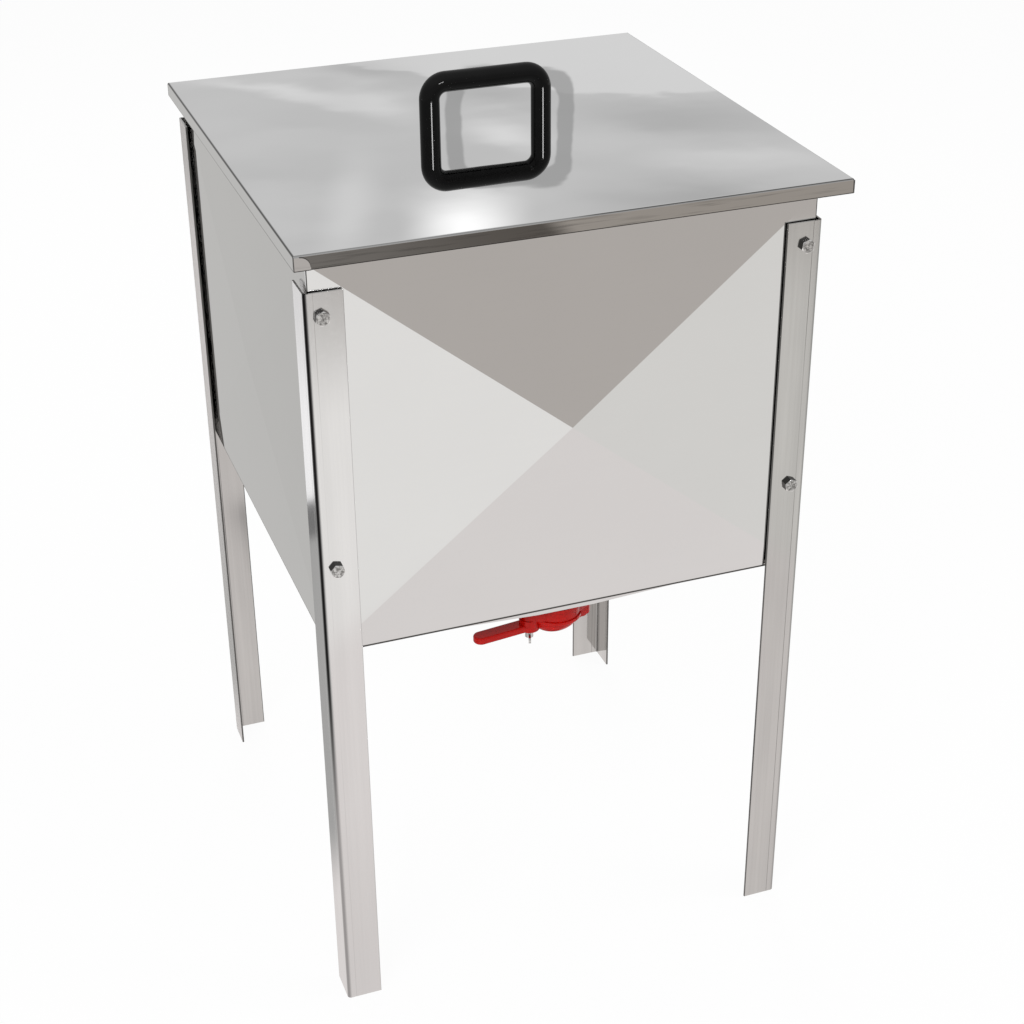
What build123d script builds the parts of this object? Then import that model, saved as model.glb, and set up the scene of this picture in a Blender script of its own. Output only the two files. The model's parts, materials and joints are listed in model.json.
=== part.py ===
from build123d import *
import os

# Uncapping tray: a sheet steel tank on four angle legs, with a loose lid, a lift-out strainer,
# a lift-out frame rest and a honey gate under the outlet.
# Millimetres. +X is to the right, +Y to the back, +Z up. The origin is on the ground under the
# middle of the lid, which lies a little to the right of the tank's own middle.

# Tank walls
TANK_WIDTH = 513.0        # over the side walls
TANK_DEPTH = 542.0        # over the front and back walls
TANK_TOP = 880.0          # rim above the ground
TANK_BOTTOM = 452.0       # lower edge of the walls above the ground
WALL_SHEET = 1.0
WALL_BEND = 2.0           # outer bend radius
RIM_FLANGE = 12.0         # inward flange round the top
FLOOR_FLANGE = 8.0        # inward flange round the bottom
CORNER_FLANGE = 26.0      # flange of a side wall behind the front or back wall
CORNER_RELIEF = 4.0       # notch above and below a corner flange
CROSS_BREAK = 5.0         # how far the middle of a wall stands out
BREAK_BELOW_RIM = 12.0    # flat strip between the rim and the cross break
MITRE_GAP = 0.4

# Tank floor
FLOOR_SHEET = 1.0
FLOOR_PLAY = 1.5          # between the floor's edge and the walls
HOPPER_LEDGE = 0.5        # between the bottom flange and the start of the slope
HOPPER_DEPTH = 11.0
SLOPE_INSET = 0.7         # of the sheet, so that the steep front slope keeps its thickness
OUTLET_SETBACK = 41.0     # outlet's centre behind the front wall
OUTLET_MARGIN = 2.0       # flat of the outlet's square beyond the gate's shoulder

# Legs
LEG_FLANGE = 38.0
LEG_SHEET = 2.0
LEG_BEND = 4.0            # outer bend radius
LEG_BELOW_RIM = 39.0
LEG_CLEARANCE = 1.5       # between the front flange and the bulge of the wall
LEG_SIDE_CLEARANCE = 2.5  # between the side flange and the bulge of the wall

# Leg bolts
BOLT_DIAMETER = 8.0
BOLT_ACROSS_FLATS = 13.0
BOLT_HEAD = 5.3
HEX_FACE = 0.95           # round face of a hexagon, as a share of its width across flats
BOLT_HOLE = 9.0
BOLT_EDGE = 16.5          # bolt centre from the leg's outer side
BOLT_BELOW_LEG_TOP = 24.0
BOLT_SPACING = 266.0      # upper to lower bolt
BOLT_SEAT_MARGIN = 1.5    # flat in the wall beyond a spacer's edge
BOLT_PROTRUSION = 2.5
NUT_HEIGHT = 6.5
THREAD_PLAY = 0.1         # radial, between a nut and its bolt
WASHER_DIAMETER = 16.0
WASHER_THICKNESS = 1.6

# Lid
LID_SIDE_OVERHANG = 23.5  # beyond the side walls when the lid is centred
LID_FRONT_OVERHANG = 9.75  # a lapped corner tab beyond the front and back walls
LID_SHEET = 1.0
LID_SKIRT = 15.0
LID_FLARE = 0.7           # lower edge of the front and back skirt beyond the bend
LID_BEND = 2.0
LID_HEM = 6.0
LID_TAB = 16.0            # corner tab along the skirt that it is lapped onto
LID_TAB_ROUND = 10.0
LID_SHIFT = 10.4          # the loose lid lies this far to the right of the tank

# Lid handle
HANDLE_WIDTH = 144.0
HANDLE_HEIGHT = 64.0
HANDLE_DIAMETER = 21.5
HANDLE_CORNER = 17.5      # on the centre line
HANDLE_SCREW = 5.0
HANDLE_SCREW_HEAD = 9.5
HANDLE_SCREW_HEAD_HEIGHT = 3.3
HANDLE_SCREW_DEPTH = 18.0
HANDLE_SCREW_PLAY = 0.15  # radial
HANDLE_WASHER = 15.0
HANDLE_WASHER_THICKNESS = 1.2

# Strainer and its rails
RAIL_BOLT_GAP = 7.0       # top of the rails under the washers of the lower bolts
RAIL_WIDTH = 24.0
RAIL_DROP = 20.0
RAIL_SHEET = 1.5
STRAINER_PLAY = 3.0       # between the strainer and the edge of the rim flange
STRAINER_SHEET = 1.0
STRAINER_HEIGHT = 70.0
STRAINER_CORNER = 8.0
STRAINER_FLANGE = 14.0
STRAINER_HEM = 10.0
STRAINER_FLOOR_PLAY = 1.0
SLOT_WIDTH = 5.0
SLOT_LENGTH = 66.0
SLOT_PITCH_X = 15.0
SLOT_PITCH_Y = 78.0
BOW_WIRE = 6.0
BOW_WIDTH = 100.0
BOW_RISE = 45.0           # top of a bow above the strainer's side
BOW_TAIL = 30.0           # length of a bow that is welded to the side
BOW_BEND = 14.0

# Frame rest
REST_Y = 90.0
REST_BELOW_RIM = 40.0
REST_WIDTH = 30.0
REST_HEIGHT = 20.0
REST_SHEET = 1.5
REST_BEND = 3.0
REST_PLAY = 0.3           # beside the saddle's inner bend
SADDLE_LENGTH = 28.0
SPIKE_HEIGHT = 16.0
SPIKE_COLLAR = 12.0
SPIKE_COLLAR_HEIGHT = 3.0
SPIKE_BASE = 6.0
SPIKE_TIP = 1.0
SPIKE_SHANK = 6.0
SPIKE_NUT_FLATS = 10.0
SPIKE_NUT_HEIGHT = 5.0
SPIKE_SHANK_SPARE = 1.5

# Honey gate body
GATE_TURN = 7.0           # degrees that the gate is turned about the outlet, lever to the front
GATE_BORE = 36.0
SPIGOT_WALL = 3.5
SPIGOT_SPARE = 5.0        # spigot above its lock nut
SPIGOT_PLAY = 0.3         # radial, in the floor and the gasket
SHOULDER_WIDTH = 7.5
SHOULDER_HEIGHT = 4.0
PLATE_HEIGHT = 12.0
PLATE_MARGIN = 3.5        # plate beyond the seal ring
PLATE_ROUND = 1.5
EAR_DIAMETER = 20.0
EAR_BLEND = 2.0           # an ear's flanks run this far inside the round plate's edge
GASKET_HEIGHT = 2.0
LOCK_NUT_WALL = 3.5       # at the flats
LOCK_NUT_HEIGHT = 8.0
SEAL_LAND = 2.0           # between the bore and the seal ring
SEAL_WIDTH = 3.0
SEAL_DEPTH = 2.0
SEAL_GAP = 0.05           # between the seal ring and the blade
FACE_GAP = 0.3            # between the body's face and the blade

# Honey gate blade and its pivot
BOWL_MARGIN = 5.0         # bowl beyond the seal ring
BOWL_DEPTH = 19.5
BOWL_LEAN = 6.0           # deepest part of the belly towards the lever
BELLY_LEVELS = (0.0, 0.3, 0.55, 0.75, 0.9, 0.97)  # sections, as shares of the belly's depth
LIP_HEIGHT = 4.0          # straight edge above the belly of the bowl
LIP_WIDTH = 2.5           # lip beyond the belly
LIP_ROUND = 1.2
BLADE_HEIGHT = 9.7        # of the pivot lobe
PIVOT_SETOFF = 3.0        # pivot's centre beyond the edge of the bowl
PIVOT_BOLT = 8.0
PIVOT_HEAD = 13.0
PIVOT_HEAD_HEIGHT = 3.0
PIVOT_POCKET_PLAY = 0.5
PIVOT_PLAY = 0.08         # radial running clearance
PIVOT_AXIAL_PLAY = 0.1
PIVOT_NUT_FLATS = 13.0
PIVOT_NUT_HEIGHT = 4.0
CATCH_DIAMETER = 22.0     # round lobe that the wing screw clamps
LEVER_REACH = 96.0        # tip of the lever from the outlet's centre
LEVER_WIDTH = 16.5
LEVER_HEIGHT = 8.0
LEVER_DROP = 5.5          # top of the lever under the blade's face
LEVER_ROUND = 2.0

# Wing screw
WING_TURN = 66.0          # degrees that the wings are turned from the line of the lever
WING_SCREW = 6.0
WING_PLAY = 0.08          # radial running clearance in the ear
WING_NOTCH_PLAY = 0.7     # radial, in the blade's notch
WING_TIP_GAP = 1.0        # between the screw's end and the shoulder
WING_COLLAR = 12.0
WING_COLLAR_HEIGHT = 2.0
WING_HUB = 9.0
WING_HUB_HEIGHT = 8.0
WING_SPAN = 26.0
WING_HEIGHT = 12.0        # from the collar down to a wing's tip
WING_TIP = 8.0            # height of a wing at its tip
WING_ROOT = 6.0           # height of a wing at the hub
WING_SHEET = 2.4
WING_ROUND = 3.0

# Places that follow from the sizes above
half_width = TANK_WIDTH / 2
half_depth = TANK_DEPTH / 2
tank_height = TANK_TOP - TANK_BOTTOM
rim_underside = TANK_TOP - WALL_SHEET
floor_underside = TANK_BOTTOM + WALL_SHEET
leg_top = TANK_TOP - LEG_BELOW_RIM
leg_gap = CROSS_BREAK * LEG_FLANGE / half_width + LEG_CLEARANCE
leg_side_gap = CROSS_BREAK * LEG_FLANGE / half_depth + LEG_SIDE_CLEARANCE
leg_face_x = half_width + leg_side_gap + LEG_SHEET
leg_face_y = half_depth + leg_gap + LEG_SHEET
bolt_x = leg_face_x - BOLT_EDGE
bolt_upper = leg_top - BOLT_BELOW_LEG_TOP
bolt_lower = bolt_upper - BOLT_SPACING
bolt_spots = [(x, z) for x in (-bolt_x, bolt_x) for z in (bolt_lower, bolt_upper)]
clamped = LEG_SHEET + leg_gap + 2 * WALL_SHEET
lid_width = TANK_WIDTH + 2 * LID_SIDE_OVERHANG
lid_pan_depth = TANK_DEPTH + 2 * (LID_FRONT_OVERHANG - LID_SHEET)
handle_x = (HANDLE_WIDTH - HANDLE_DIAMETER) / 2
rail_top = bolt_lower - WASHER_DIAMETER / 2 - RAIL_BOLT_GAP
strainer_half_x = half_width - RIM_FLANGE - STRAINER_PLAY
strainer_half_y = half_depth - RIM_FLANGE - STRAINER_PLAY
rest_top = TANK_TOP - REST_BELOW_RIM
rest_bottom = rest_top - REST_HEIGHT
outlet_y = OUTLET_SETBACK - half_depth
pad_underside = floor_underside - HOPPER_DEPTH
gate_face = pad_underside - GASKET_HEIGHT - SHOULDER_HEIGHT - PLATE_HEIGHT
spigot = GATE_BORE + 2 * SPIGOT_WALL
shoulder = spigot + 2 * SHOULDER_WIDTH
seal_inner = GATE_BORE + 2 * SEAL_LAND
seal_outer = seal_inner + 2 * SEAL_WIDTH
bowl = seal_outer + 2 * BOWL_MARGIN
pivot_x = bowl / 2 + PIVOT_SETOFF
catch_height = LEVER_DROP + LEVER_HEIGHT


def at_vertices(shape, spots):
    """The vertices of a flat shape that lie at the given places in its own plane."""
    return [v for v in shape.vertices() if any((v.X - x) ** 2 + (v.Y - y) ** 2 < 1e-6 for x, y in spots)]


def bent_sheet(outline, outer, inner, bend, sheet):
    """A folded sheet's section: an outline whose outer and inner corners are rounded."""
    section = make_face(Polyline(*outline, close=True))
    section = fillet(at_vertices(section, outer), bend)
    if bend > sheet:
        section = fillet(at_vertices(section, inner), bend - sheet)
    return section


def ring(outer, inner, height):
    """A flat ring on the XY plane, rising along Z, from its diameters."""
    return extrude(Circle(outer / 2) - Circle(inner / 2), height)


def hexagon(flats, height):
    """A hexagon on the XY plane with a corner on +Y, its upper corners turned off at 30 degrees."""
    prism = extrude(Rot(0, 0, 30) * RegularPolygon(flats / 2, 6, major_radius=False), height)
    corner = flats / 3 ** 0.5
    turned_off = corner - HEX_FACE * flats / 2
    blank = extrude(Circle(corner), height)
    return prism & chamfer(blank.edges().group_by(Axis.Z)[-1], turned_off / 3 ** 0.5, turned_off)


def hex_nut(flats, height, bore):
    """A hexagon nut on the XY plane."""
    return hexagon(flats, height) - extrude(Circle(bore / 2), height)


# Tank walls


def mitre_wedge(outer_length, flange, low, high):
    """What is cut off a flange at its +X end so that it meets its neighbour at 45 degrees."""
    end = outer_length / 2 - MITRE_GAP / 2
    reach = flange + WALL_SHEET
    outline = [(end, 0), (outer_length, 0), (outer_length, reach), (end - reach, reach)]
    return Pos(0, 0, low) * extrude(make_face(Polyline(*outline, close=True)), high - low)


def cross_break(length, seats):
    """The shallow pyramid that a cross-broken wall stands out by, with flats at the seats."""
    low = TANK_BOTTOM + WALL_BEND
    high = TANK_TOP - BREAK_BELOW_RIM
    middle = (low + high) / 2
    base = Plane.XZ * Pos(0, middle) * Rectangle(length, high - low)
    pyramid = loft([base, Vertex(0, -CROSS_BREAK, middle)], ruled=True)
    seat = Rot(90, 0, 0) * Cylinder(WASHER_DIAMETER / 2 + BOLT_SEAT_MARGIN, 4 * CROSS_BREAK)
    for x, z in seats:
        pyramid -= Pos(x, 0, z) * seat
    return pyramid


def wall(length, outer_length, seats):
    """A wall along X: outer face at y = 0, rim and bottom flange towards +Y."""
    outline = [
        (RIM_FLANGE, TANK_TOP), (0, TANK_TOP), (0, TANK_BOTTOM), (FLOOR_FLANGE, TANK_BOTTOM),
        (FLOOR_FLANGE, floor_underside), (WALL_SHEET, floor_underside),
        (WALL_SHEET, rim_underside), (RIM_FLANGE, rim_underside),
    ]
    section = bent_sheet(outline, outline[1:3], outline[5:7], WALL_BEND, WALL_SHEET)
    sheet = extrude(Plane.YZ * section, length / 2, both=True)
    bulge = cross_break(length, seats)
    sheet = sheet + bulge - Pos(0, WALL_SHEET, 0) * bulge
    floor_wedge = mitre_wedge(outer_length, FLOOR_FLANGE, TANK_BOTTOM, TANK_BOTTOM + WALL_BEND)
    rim_wedge = mitre_wedge(outer_length, RIM_FLANGE, TANK_TOP - WALL_BEND, TANK_TOP)
    for wedge in (floor_wedge, rim_wedge):
        sheet -= wedge
        sheet -= mirror(wedge, about=Plane.YZ)
    return sheet


def bolt_holes():
    """The eight leg bolts' clearance holes, right through the tank along Y."""
    return [
        Pos(x, 0, z) * Rot(90, 0, 0) * Cylinder(BOLT_HOLE / 2, 2 * TANK_DEPTH)
        for x, z in bolt_spots
    ]


def front_wall():
    """The front wall in its place."""
    return Pos(0, -half_depth, 0) * wall(TANK_WIDTH, TANK_WIDTH, bolt_spots) - bolt_holes()


def side_wall():
    """The left wall in its place, with its corner flanges behind the front and back walls."""
    length = TANK_DEPTH - 2 * WALL_SHEET
    end = length / 2
    inner = end - WALL_SHEET
    outline = [
        (-end, CORNER_FLANGE), (-end, 0), (end, 0), (end, CORNER_FLANGE),
        (inner, CORNER_FLANGE), (inner, WALL_SHEET), (-inner, WALL_SHEET), (-inner, CORNER_FLANGE),
    ]
    section = bent_sheet(outline, outline[1:3], outline[5:7], WALL_BEND, WALL_SHEET)
    web = wall(length - 2 * WALL_BEND, TANK_DEPTH, [])
    corners = section - Rectangle(length - 2 * WALL_BEND, 2 * WALL_BEND)
    low = TANK_BOTTOM + CORNER_RELIEF
    corners = Pos(0, 0, low) * extrude(corners, tank_height - 2 * CORNER_RELIEF)
    return Pos(-half_width, 0, 0) * Rot(0, 0, -90) * (web + corners) - bolt_holes()


def tank_floor():
    """A floor on the bottom flanges that falls to a flat square round the outlet."""
    ledge = FLOOR_FLANGE + HOPPER_LEDGE
    pad_side = shoulder + 2 * OUTLET_MARGIN

    def hopper(inset):
        mouth = Rectangle(TANK_WIDTH - 2 * (ledge + inset), TANK_DEPTH - 2 * (ledge + inset))
        pad = Pos(0, outlet_y, -HOPPER_DEPTH) * Rectangle(pad_side - 2 * inset, pad_side - 2 * inset)
        return loft([mouth, pad], ruled=True)

    margin = 2 * (WALL_SHEET + FLOOR_PLAY)
    sheet = extrude(Rectangle(TANK_WIDTH - margin, TANK_DEPTH - margin), FLOOR_SHEET)
    sheet = sheet + hopper(0) - Pos(0, 0, FLOOR_SHEET) * hopper(SLOPE_INSET * FLOOR_SHEET)
    hole = Cylinder(spigot / 2 + SPIGOT_PLAY, 4 * HOPPER_DEPTH)
    return Pos(0, 0, floor_underside) * (sheet - Pos(0, outlet_y, 0) * hole)


# Legs and their bolts


def front_left_leg():
    """A bent angle round the tank's front left corner, with two bolt holes in its front flange."""
    x, y = -leg_face_x, -leg_face_y
    outline = [
        (x, y + LEG_FLANGE), (x, y), (x + LEG_FLANGE, y), (x + LEG_FLANGE, y + LEG_SHEET),
        (x + LEG_SHEET, y + LEG_SHEET), (x + LEG_SHEET, y + LEG_FLANGE),
    ]
    section = bent_sheet(outline, outline[1:2], outline[4:5], LEG_BEND, LEG_SHEET)
    return extrude(section, leg_top) - bolt_holes()


def leg_hardware(piece, depth):
    """Eight copies of a piece on +Z, set along the leg bolts at a depth under the legs' faces."""
    front = [Pos(x, depth - leg_face_y, z) * Rot(-90, 0, 0) * piece for x, z in bolt_spots]
    back = [Rot(0, 0, 180) * copy for copy in front]
    return Compound(children=front + back)


def leg_bolt():
    """A hexagon bolt on +Z whose head stands below z = 0."""
    head = Rot(180, 0, 0) * hexagon(BOLT_ACROSS_FLATS, BOLT_HEAD)
    length = clamped + WASHER_THICKNESS + NUT_HEIGHT + BOLT_PROTRUSION
    return head + extrude(Circle(BOLT_DIAMETER / 2), length)


# Lid


def lid_pan():
    """A shallow pan, upside down, with a hemmed skirt and tabs lapped round its corners."""
    low = TANK_TOP + LID_SHEET - LID_SKIRT

    def block(inset, bottom, top):
        levels = []
        for height in (bottom, top):
            lean = LID_FLARE * (LID_SKIRT - height) / LID_SKIRT
            level = Rectangle(lid_width - 2 * inset, lid_pan_depth + 2 * (lean - inset))
            levels.append(Pos(0, 0, low + height) * level)
        return loft(levels, ruled=True)

    pan = fillet(block(0, 0, LID_SKIRT).edges().group_by(Axis.Z)[-1], LID_BEND)
    pan -= block(2 * LID_SHEET, 0, LID_SKIRT - LID_SHEET)
    pan -= block(LID_SHEET, LID_HEM, LID_SKIRT - LID_SHEET)
    tab_height = LID_SKIRT - LID_BEND
    tab = Pos(LID_TAB / 2, tab_height / 2) * Rectangle(LID_TAB, tab_height)
    tab = fillet(at_vertices(tab, [(LID_TAB, tab_height)]), LID_TAB_ROUND)
    left_corner = (-lid_width / 2, -lid_pan_depth / 2 - LID_FLARE, low)
    right_corner = (lid_width / 2, -lid_pan_depth / 2, low)
    on_front = Plane(left_corner, x_dir=(1, 0, 0), z_dir=(0, -LID_SKIRT, LID_FLARE))
    on_right = Plane(right_corner, x_dir=(0, 1, 0), z_dir=(1, 0, 0))
    tabs = [extrude(skirt * tab, LID_SHEET) for skirt in (on_front, on_right)]
    tabs += [mirror(t, about=Plane.XZ) for t in tabs]
    pan += tabs
    for x in (-handle_x, handle_x):
        pan -= Pos(x, 0, TANK_TOP) * Cylinder(HANDLE_SCREW / 2 + HANDLE_SCREW_PLAY, 4 * LID_SHEET)
    return pan


def lid_handle():
    """A round bow on the lid, with a blind hole in each foot."""
    foot = TANK_TOP + LID_SHEET
    top = foot + HANDLE_HEIGHT - HANDLE_DIAMETER / 2
    points = [(-handle_x, 0, foot), (-handle_x, 0, top), (handle_x, 0, top), (handle_x, 0, foot)]
    path = FilletPolyline(*points, radius=HANDLE_CORNER)
    bow = sweep(Pos(-handle_x, 0, foot) * Circle(HANDLE_DIAMETER / 2), path)
    hole = extrude(Circle(HANDLE_SCREW / 2 + HANDLE_SCREW_PLAY), HANDLE_SCREW_DEPTH + HANDLE_SCREW_PLAY)
    for x in (-handle_x, handle_x):
        bow -= Pos(x, 0, foot) * hole
    return bow


def under_handle(piece, height):
    """Two copies of a piece on +Z, one under each foot of the handle."""
    return Compound(children=[Pos(x, 0, height) * piece for x in (-handle_x, handle_x)])


def handle_screw():
    """A round-headed screw on +Z whose head stands below z = 0."""
    head = Rot(180, 0, 0) * extrude(Circle(HANDLE_SCREW_HEAD / 2), HANDLE_SCREW_HEAD_HEIGHT)
    head = fillet(head.edges().group_by(Axis.Z)[0], HANDLE_SCREW_HEAD_HEIGHT / 2)
    length = HANDLE_WASHER_THICKNESS + LID_SHEET + HANDLE_SCREW_DEPTH
    return head + extrude(Circle(HANDLE_SCREW / 2), length)


# Strainer


def strainer_rails():
    """Two angle strips, welded to the corner flanges, that the strainer rests on."""
    x = -half_width + WALL_BEND
    outline = [
        (x, rail_top - RAIL_DROP), (x, rail_top), (x + RAIL_WIDTH, rail_top),
        (x + RAIL_WIDTH, rail_top - RAIL_SHEET), (x + RAIL_SHEET, rail_top - RAIL_SHEET),
        (x + RAIL_SHEET, rail_top - RAIL_DROP),
    ]
    section = bent_sheet(outline, outline[1:2], [], RAIL_SHEET, RAIL_SHEET)
    rail = extrude(Plane.XZ * section, half_depth - 2 * WALL_SHEET, both=True)
    return Compound(children=[rail, mirror(rail, about=Plane.YZ)])


def strainer_frame():
    """The strainer's four sides, with a bottom flange and a hemmed top edge."""

    def block(inset, corner, low, high):
        sides = (2 * (strainer_half_x - inset), 2 * (strainer_half_y - inset))
        return Pos(0, 0, rail_top + low) * extrude(RectangleRounded(*sides, corner), high - low)

    inside = STRAINER_CORNER - STRAINER_SHEET
    inside_hem = inside - STRAINER_SHEET
    hem_low = STRAINER_HEIGHT - STRAINER_HEM
    frame = block(0, STRAINER_CORNER, 0, STRAINER_HEIGHT)
    frame -= block(STRAINER_SHEET, inside, STRAINER_SHEET, hem_low)
    frame -= block(2 * STRAINER_SHEET, inside_hem, hem_low, STRAINER_HEIGHT)
    frame -= block(STRAINER_FLANGE, inside_hem, 0, STRAINER_SHEET)
    return frame


def strainer_floor():
    """A slotted sheet that lies on the strainer's bottom flange."""
    inset = STRAINER_SHEET + STRAINER_FLOOR_PLAY
    width = 2 * (strainer_half_x - inset)
    depth = 2 * (strainer_half_y - inset)
    sheet = RectangleRounded(width, depth, STRAINER_CORNER - inset)
    columns = int((width - 2 * STRAINER_FLANGE) // SLOT_PITCH_X)
    rows = int((depth - 2 * STRAINER_FLANGE) // SLOT_PITCH_Y)
    sheet -= GridLocations(SLOT_PITCH_X, SLOT_PITCH_Y, columns, rows) * Rectangle(SLOT_WIDTH, SLOT_LENGTH)
    return Pos(0, 0, rail_top + STRAINER_SHEET) * extrude(sheet, STRAINER_SHEET)


def strainer_bows():
    """Two wire bows, welded inside the strainer's left and right sides, to lift it by."""
    x = strainer_half_x - 2 * STRAINER_SHEET - BOW_WIRE / 2
    y = BOW_WIDTH / 2
    side_top = rail_top + STRAINER_HEIGHT
    low = side_top - BOW_TAIL
    high = side_top + BOW_RISE - BOW_WIRE / 2
    path = FilletPolyline((x, -y, low), (x, -y, high), (x, y, high), (x, y, low), radius=BOW_BEND)
    bow = sweep(Pos(x, -y, low) * Circle(BOW_WIRE / 2), path)
    return Compound(children=[bow, mirror(bow, about=Plane.YZ)])


# Frame rest


def frame_rest_bar():
    """A channel, open below, from saddle to saddle."""
    half = REST_WIDTH / 2
    inner = half - REST_SHEET
    web = rest_top - REST_SHEET
    outline = [
        (-half, rest_bottom), (-half, rest_top), (half, rest_top), (half, rest_bottom),
        (inner, rest_bottom), (inner, web), (-inner, web), (-inner, rest_bottom),
    ]
    section = bent_sheet(outline, outline[1:3], outline[5:7], REST_BEND, REST_SHEET)
    bar = Pos(0, REST_Y, 0) * extrude(Plane.YZ * section, strainer_half_x, both=True)
    return bar - Pos(0, REST_Y, rest_top) * Cylinder(SPIKE_SHANK / 2 + THREAD_PLAY, 4 * REST_SHEET)


def frame_rest_saddles():
    """Two folded stirrups under the rim that the bar drops into."""
    half = REST_WIDTH / 2 + REST_PLAY + REST_BEND
    inner = half - REST_SHEET
    low = rest_bottom - REST_SHEET
    outline = [
        (-half, rim_underside), (-half, low), (half, low), (half, rim_underside),
        (inner, rim_underside), (inner, rest_bottom), (-inner, rest_bottom), (-inner, rim_underside),
    ]
    section = bent_sheet(outline, outline[1:3], outline[5:7], REST_BEND, REST_SHEET)
    stirrup = extrude(Plane.YZ * section, SADDLE_LENGTH)
    stirrup = Pos(-half_width + WALL_BEND, REST_Y, 0) * stirrup
    return Compound(children=[stirrup, mirror(stirrup, about=Plane.YZ)])


def frame_rest_spike():
    """A pointed pin on the bar, with a collar above the sheet and a threaded shank below."""
    shank = REST_SHEET + SPIKE_NUT_HEIGHT + SPIKE_SHANK_SPARE
    outline = [
        (0, -shank), (SPIKE_SHANK / 2, -shank), (SPIKE_SHANK / 2, 0), (SPIKE_COLLAR / 2, 0),
        (SPIKE_COLLAR / 2, SPIKE_COLLAR_HEIGHT), (SPIKE_BASE / 2, SPIKE_COLLAR_HEIGHT),
        (SPIKE_TIP / 2, SPIKE_HEIGHT), (0, SPIKE_HEIGHT),
    ]
    pin = revolve(Plane.XZ * make_face(Polyline(*outline, close=True)), Axis.Z)
    return Pos(0, REST_Y, rest_top) * pin


def frame_rest_spike_nut():
    """The nut that holds the spike from under the bar's web."""
    nut = hex_nut(SPIKE_NUT_FLATS, SPIKE_NUT_HEIGHT, SPIKE_SHANK + 2 * THREAD_PLAY)
    return Pos(0, REST_Y, rest_top - REST_SHEET) * Rot(180, 0, 0) * nut


# Honey gate, made on its own outlet axis with z = 0 at the body's face


def at_gate(piece):
    """A gate piece in its place under the outlet."""
    return Pos(0, outlet_y, gate_face) * Rot(0, 0, GATE_TURN) * piece


def eared(diameter, ears):
    """A round plate's outline with an ear at each of the given places along X."""
    outline = Circle(diameter / 2)
    for x in ears:
        ear = Pos(x, 0) * Circle(EAR_DIAMETER / 2)
        outline += make_hull([*Circle(diameter / 2 - EAR_BLEND).edges(), *ear.edges()])
    return outline


def gate_body():
    """The fixed half: spigot through the floor, shoulder, and a face plate with two ears."""
    plate = extrude(eared(seal_outer + 2 * PLATE_MARGIN, [-pivot_x, pivot_x]), PLATE_HEIGHT)
    body = fillet(plate.edges().group_by(Axis.Z)[-1], PLATE_ROUND)
    floor_top = PLATE_HEIGHT + SHOULDER_HEIGHT + GASKET_HEIGHT + FLOOR_SHEET
    spigot_top = floor_top + LOCK_NUT_HEIGHT + SPIGOT_SPARE
    body += Pos(0, 0, PLATE_HEIGHT) * extrude(Circle(shoulder / 2), SHOULDER_HEIGHT)
    body += extrude(Circle(spigot / 2), spigot_top)
    body -= extrude(Circle(GATE_BORE / 2), spigot_top)
    body -= ring(seal_outer, seal_inner, SEAL_DEPTH)
    pocket = extrude(Circle(PIVOT_HEAD / 2 + PIVOT_POCKET_PLAY), SHOULDER_HEIGHT)
    body -= Pos(pivot_x, 0, PLATE_HEIGHT) * pocket
    body -= Pos(pivot_x, 0) * extrude(Circle(PIVOT_BOLT / 2 + THREAD_PLAY), PLATE_HEIGHT)
    body -= Pos(-pivot_x, 0) * extrude(Circle(WING_SCREW / 2 + WING_PLAY), PLATE_HEIGHT)
    return at_gate(body)


def gate_gasket():
    """A flat gasket between the body's shoulder and the floor."""
    flat = ring(shoulder, spigot + 2 * SPIGOT_PLAY, GASKET_HEIGHT)
    return at_gate(Pos(0, 0, PLATE_HEIGHT + SHOULDER_HEIGHT) * flat)


def gate_lock_nut():
    """The nut inside the tank that draws the body up against the floor."""
    nut = hex_nut(spigot + 2 * LOCK_NUT_WALL, LOCK_NUT_HEIGHT, spigot + 2 * THREAD_PLAY)
    return Pos(0, outlet_y, pad_underside + FLOOR_SHEET) * nut


def gate_seal():
    """The seal ring in the body's face, standing out almost to the blade."""
    height = SEAL_DEPTH + FACE_GAP - SEAL_GAP
    return at_gate(Pos(0, 0, SEAL_GAP - FACE_GAP) * ring(seal_outer, seal_inner, height))


def along_lever(edge):
    """Whether an edge of the lever runs along it or round its tip, not across its root."""
    return edge.center().X < -LEVER_WIDTH / 2


def gate_lever():
    """The lever to the left of the bowl, rounded at its tip and along its edges."""
    length = LEVER_REACH - LEVER_WIDTH / 2
    outline = Pos(-length / 2, 0) * Rectangle(length, LEVER_WIDTH)
    outline += Pos(-length, 0) * Circle(LEVER_WIDTH / 2)
    bar = extrude(outline, LEVER_HEIGHT)
    levels = bar.edges().group_by(Axis.Z)
    bar = fillet(levels[0].filter_by(along_lever) + levels[-1].filter_by(along_lever), LEVER_ROUND)
    return Pos(0, 0, -catch_height) * bar


def gate_notch():
    """The channel, open to the back, that lets the blade swing forward off the wing screw."""
    half = WING_SCREW / 2 + WING_NOTCH_PLAY
    swing = 2 * pivot_x
    channel = Pos(pivot_x, 0) * (Circle(swing + half) - Circle(swing - half))
    channel &= Pos(-pivot_x, CATCH_DIAMETER / 2) * Rectangle(CATCH_DIAMETER, CATCH_DIAMETER)
    return channel + Pos(-pivot_x, 0) * Circle(half)


def gate_bowl():
    """The bowl under the outlet: a straight lip above a belly that leans towards the lever."""
    lip = extrude(Circle(bowl / 2), -LIP_HEIGHT)
    lip = fillet(lip.edges().group_by(Axis.Z)[0], LIP_ROUND)
    levels = []
    for share in BELLY_LEVELS:
        level = Circle((bowl / 2 - LIP_WIDTH) * (1 - share ** 2) ** 0.5)
        depth = LIP_HEIGHT + (BOWL_DEPTH - LIP_HEIGHT) * share
        levels.append(Pos(-BOWL_LEAN * share, 0, -depth) * level)
    return lip + loft(levels)


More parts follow.
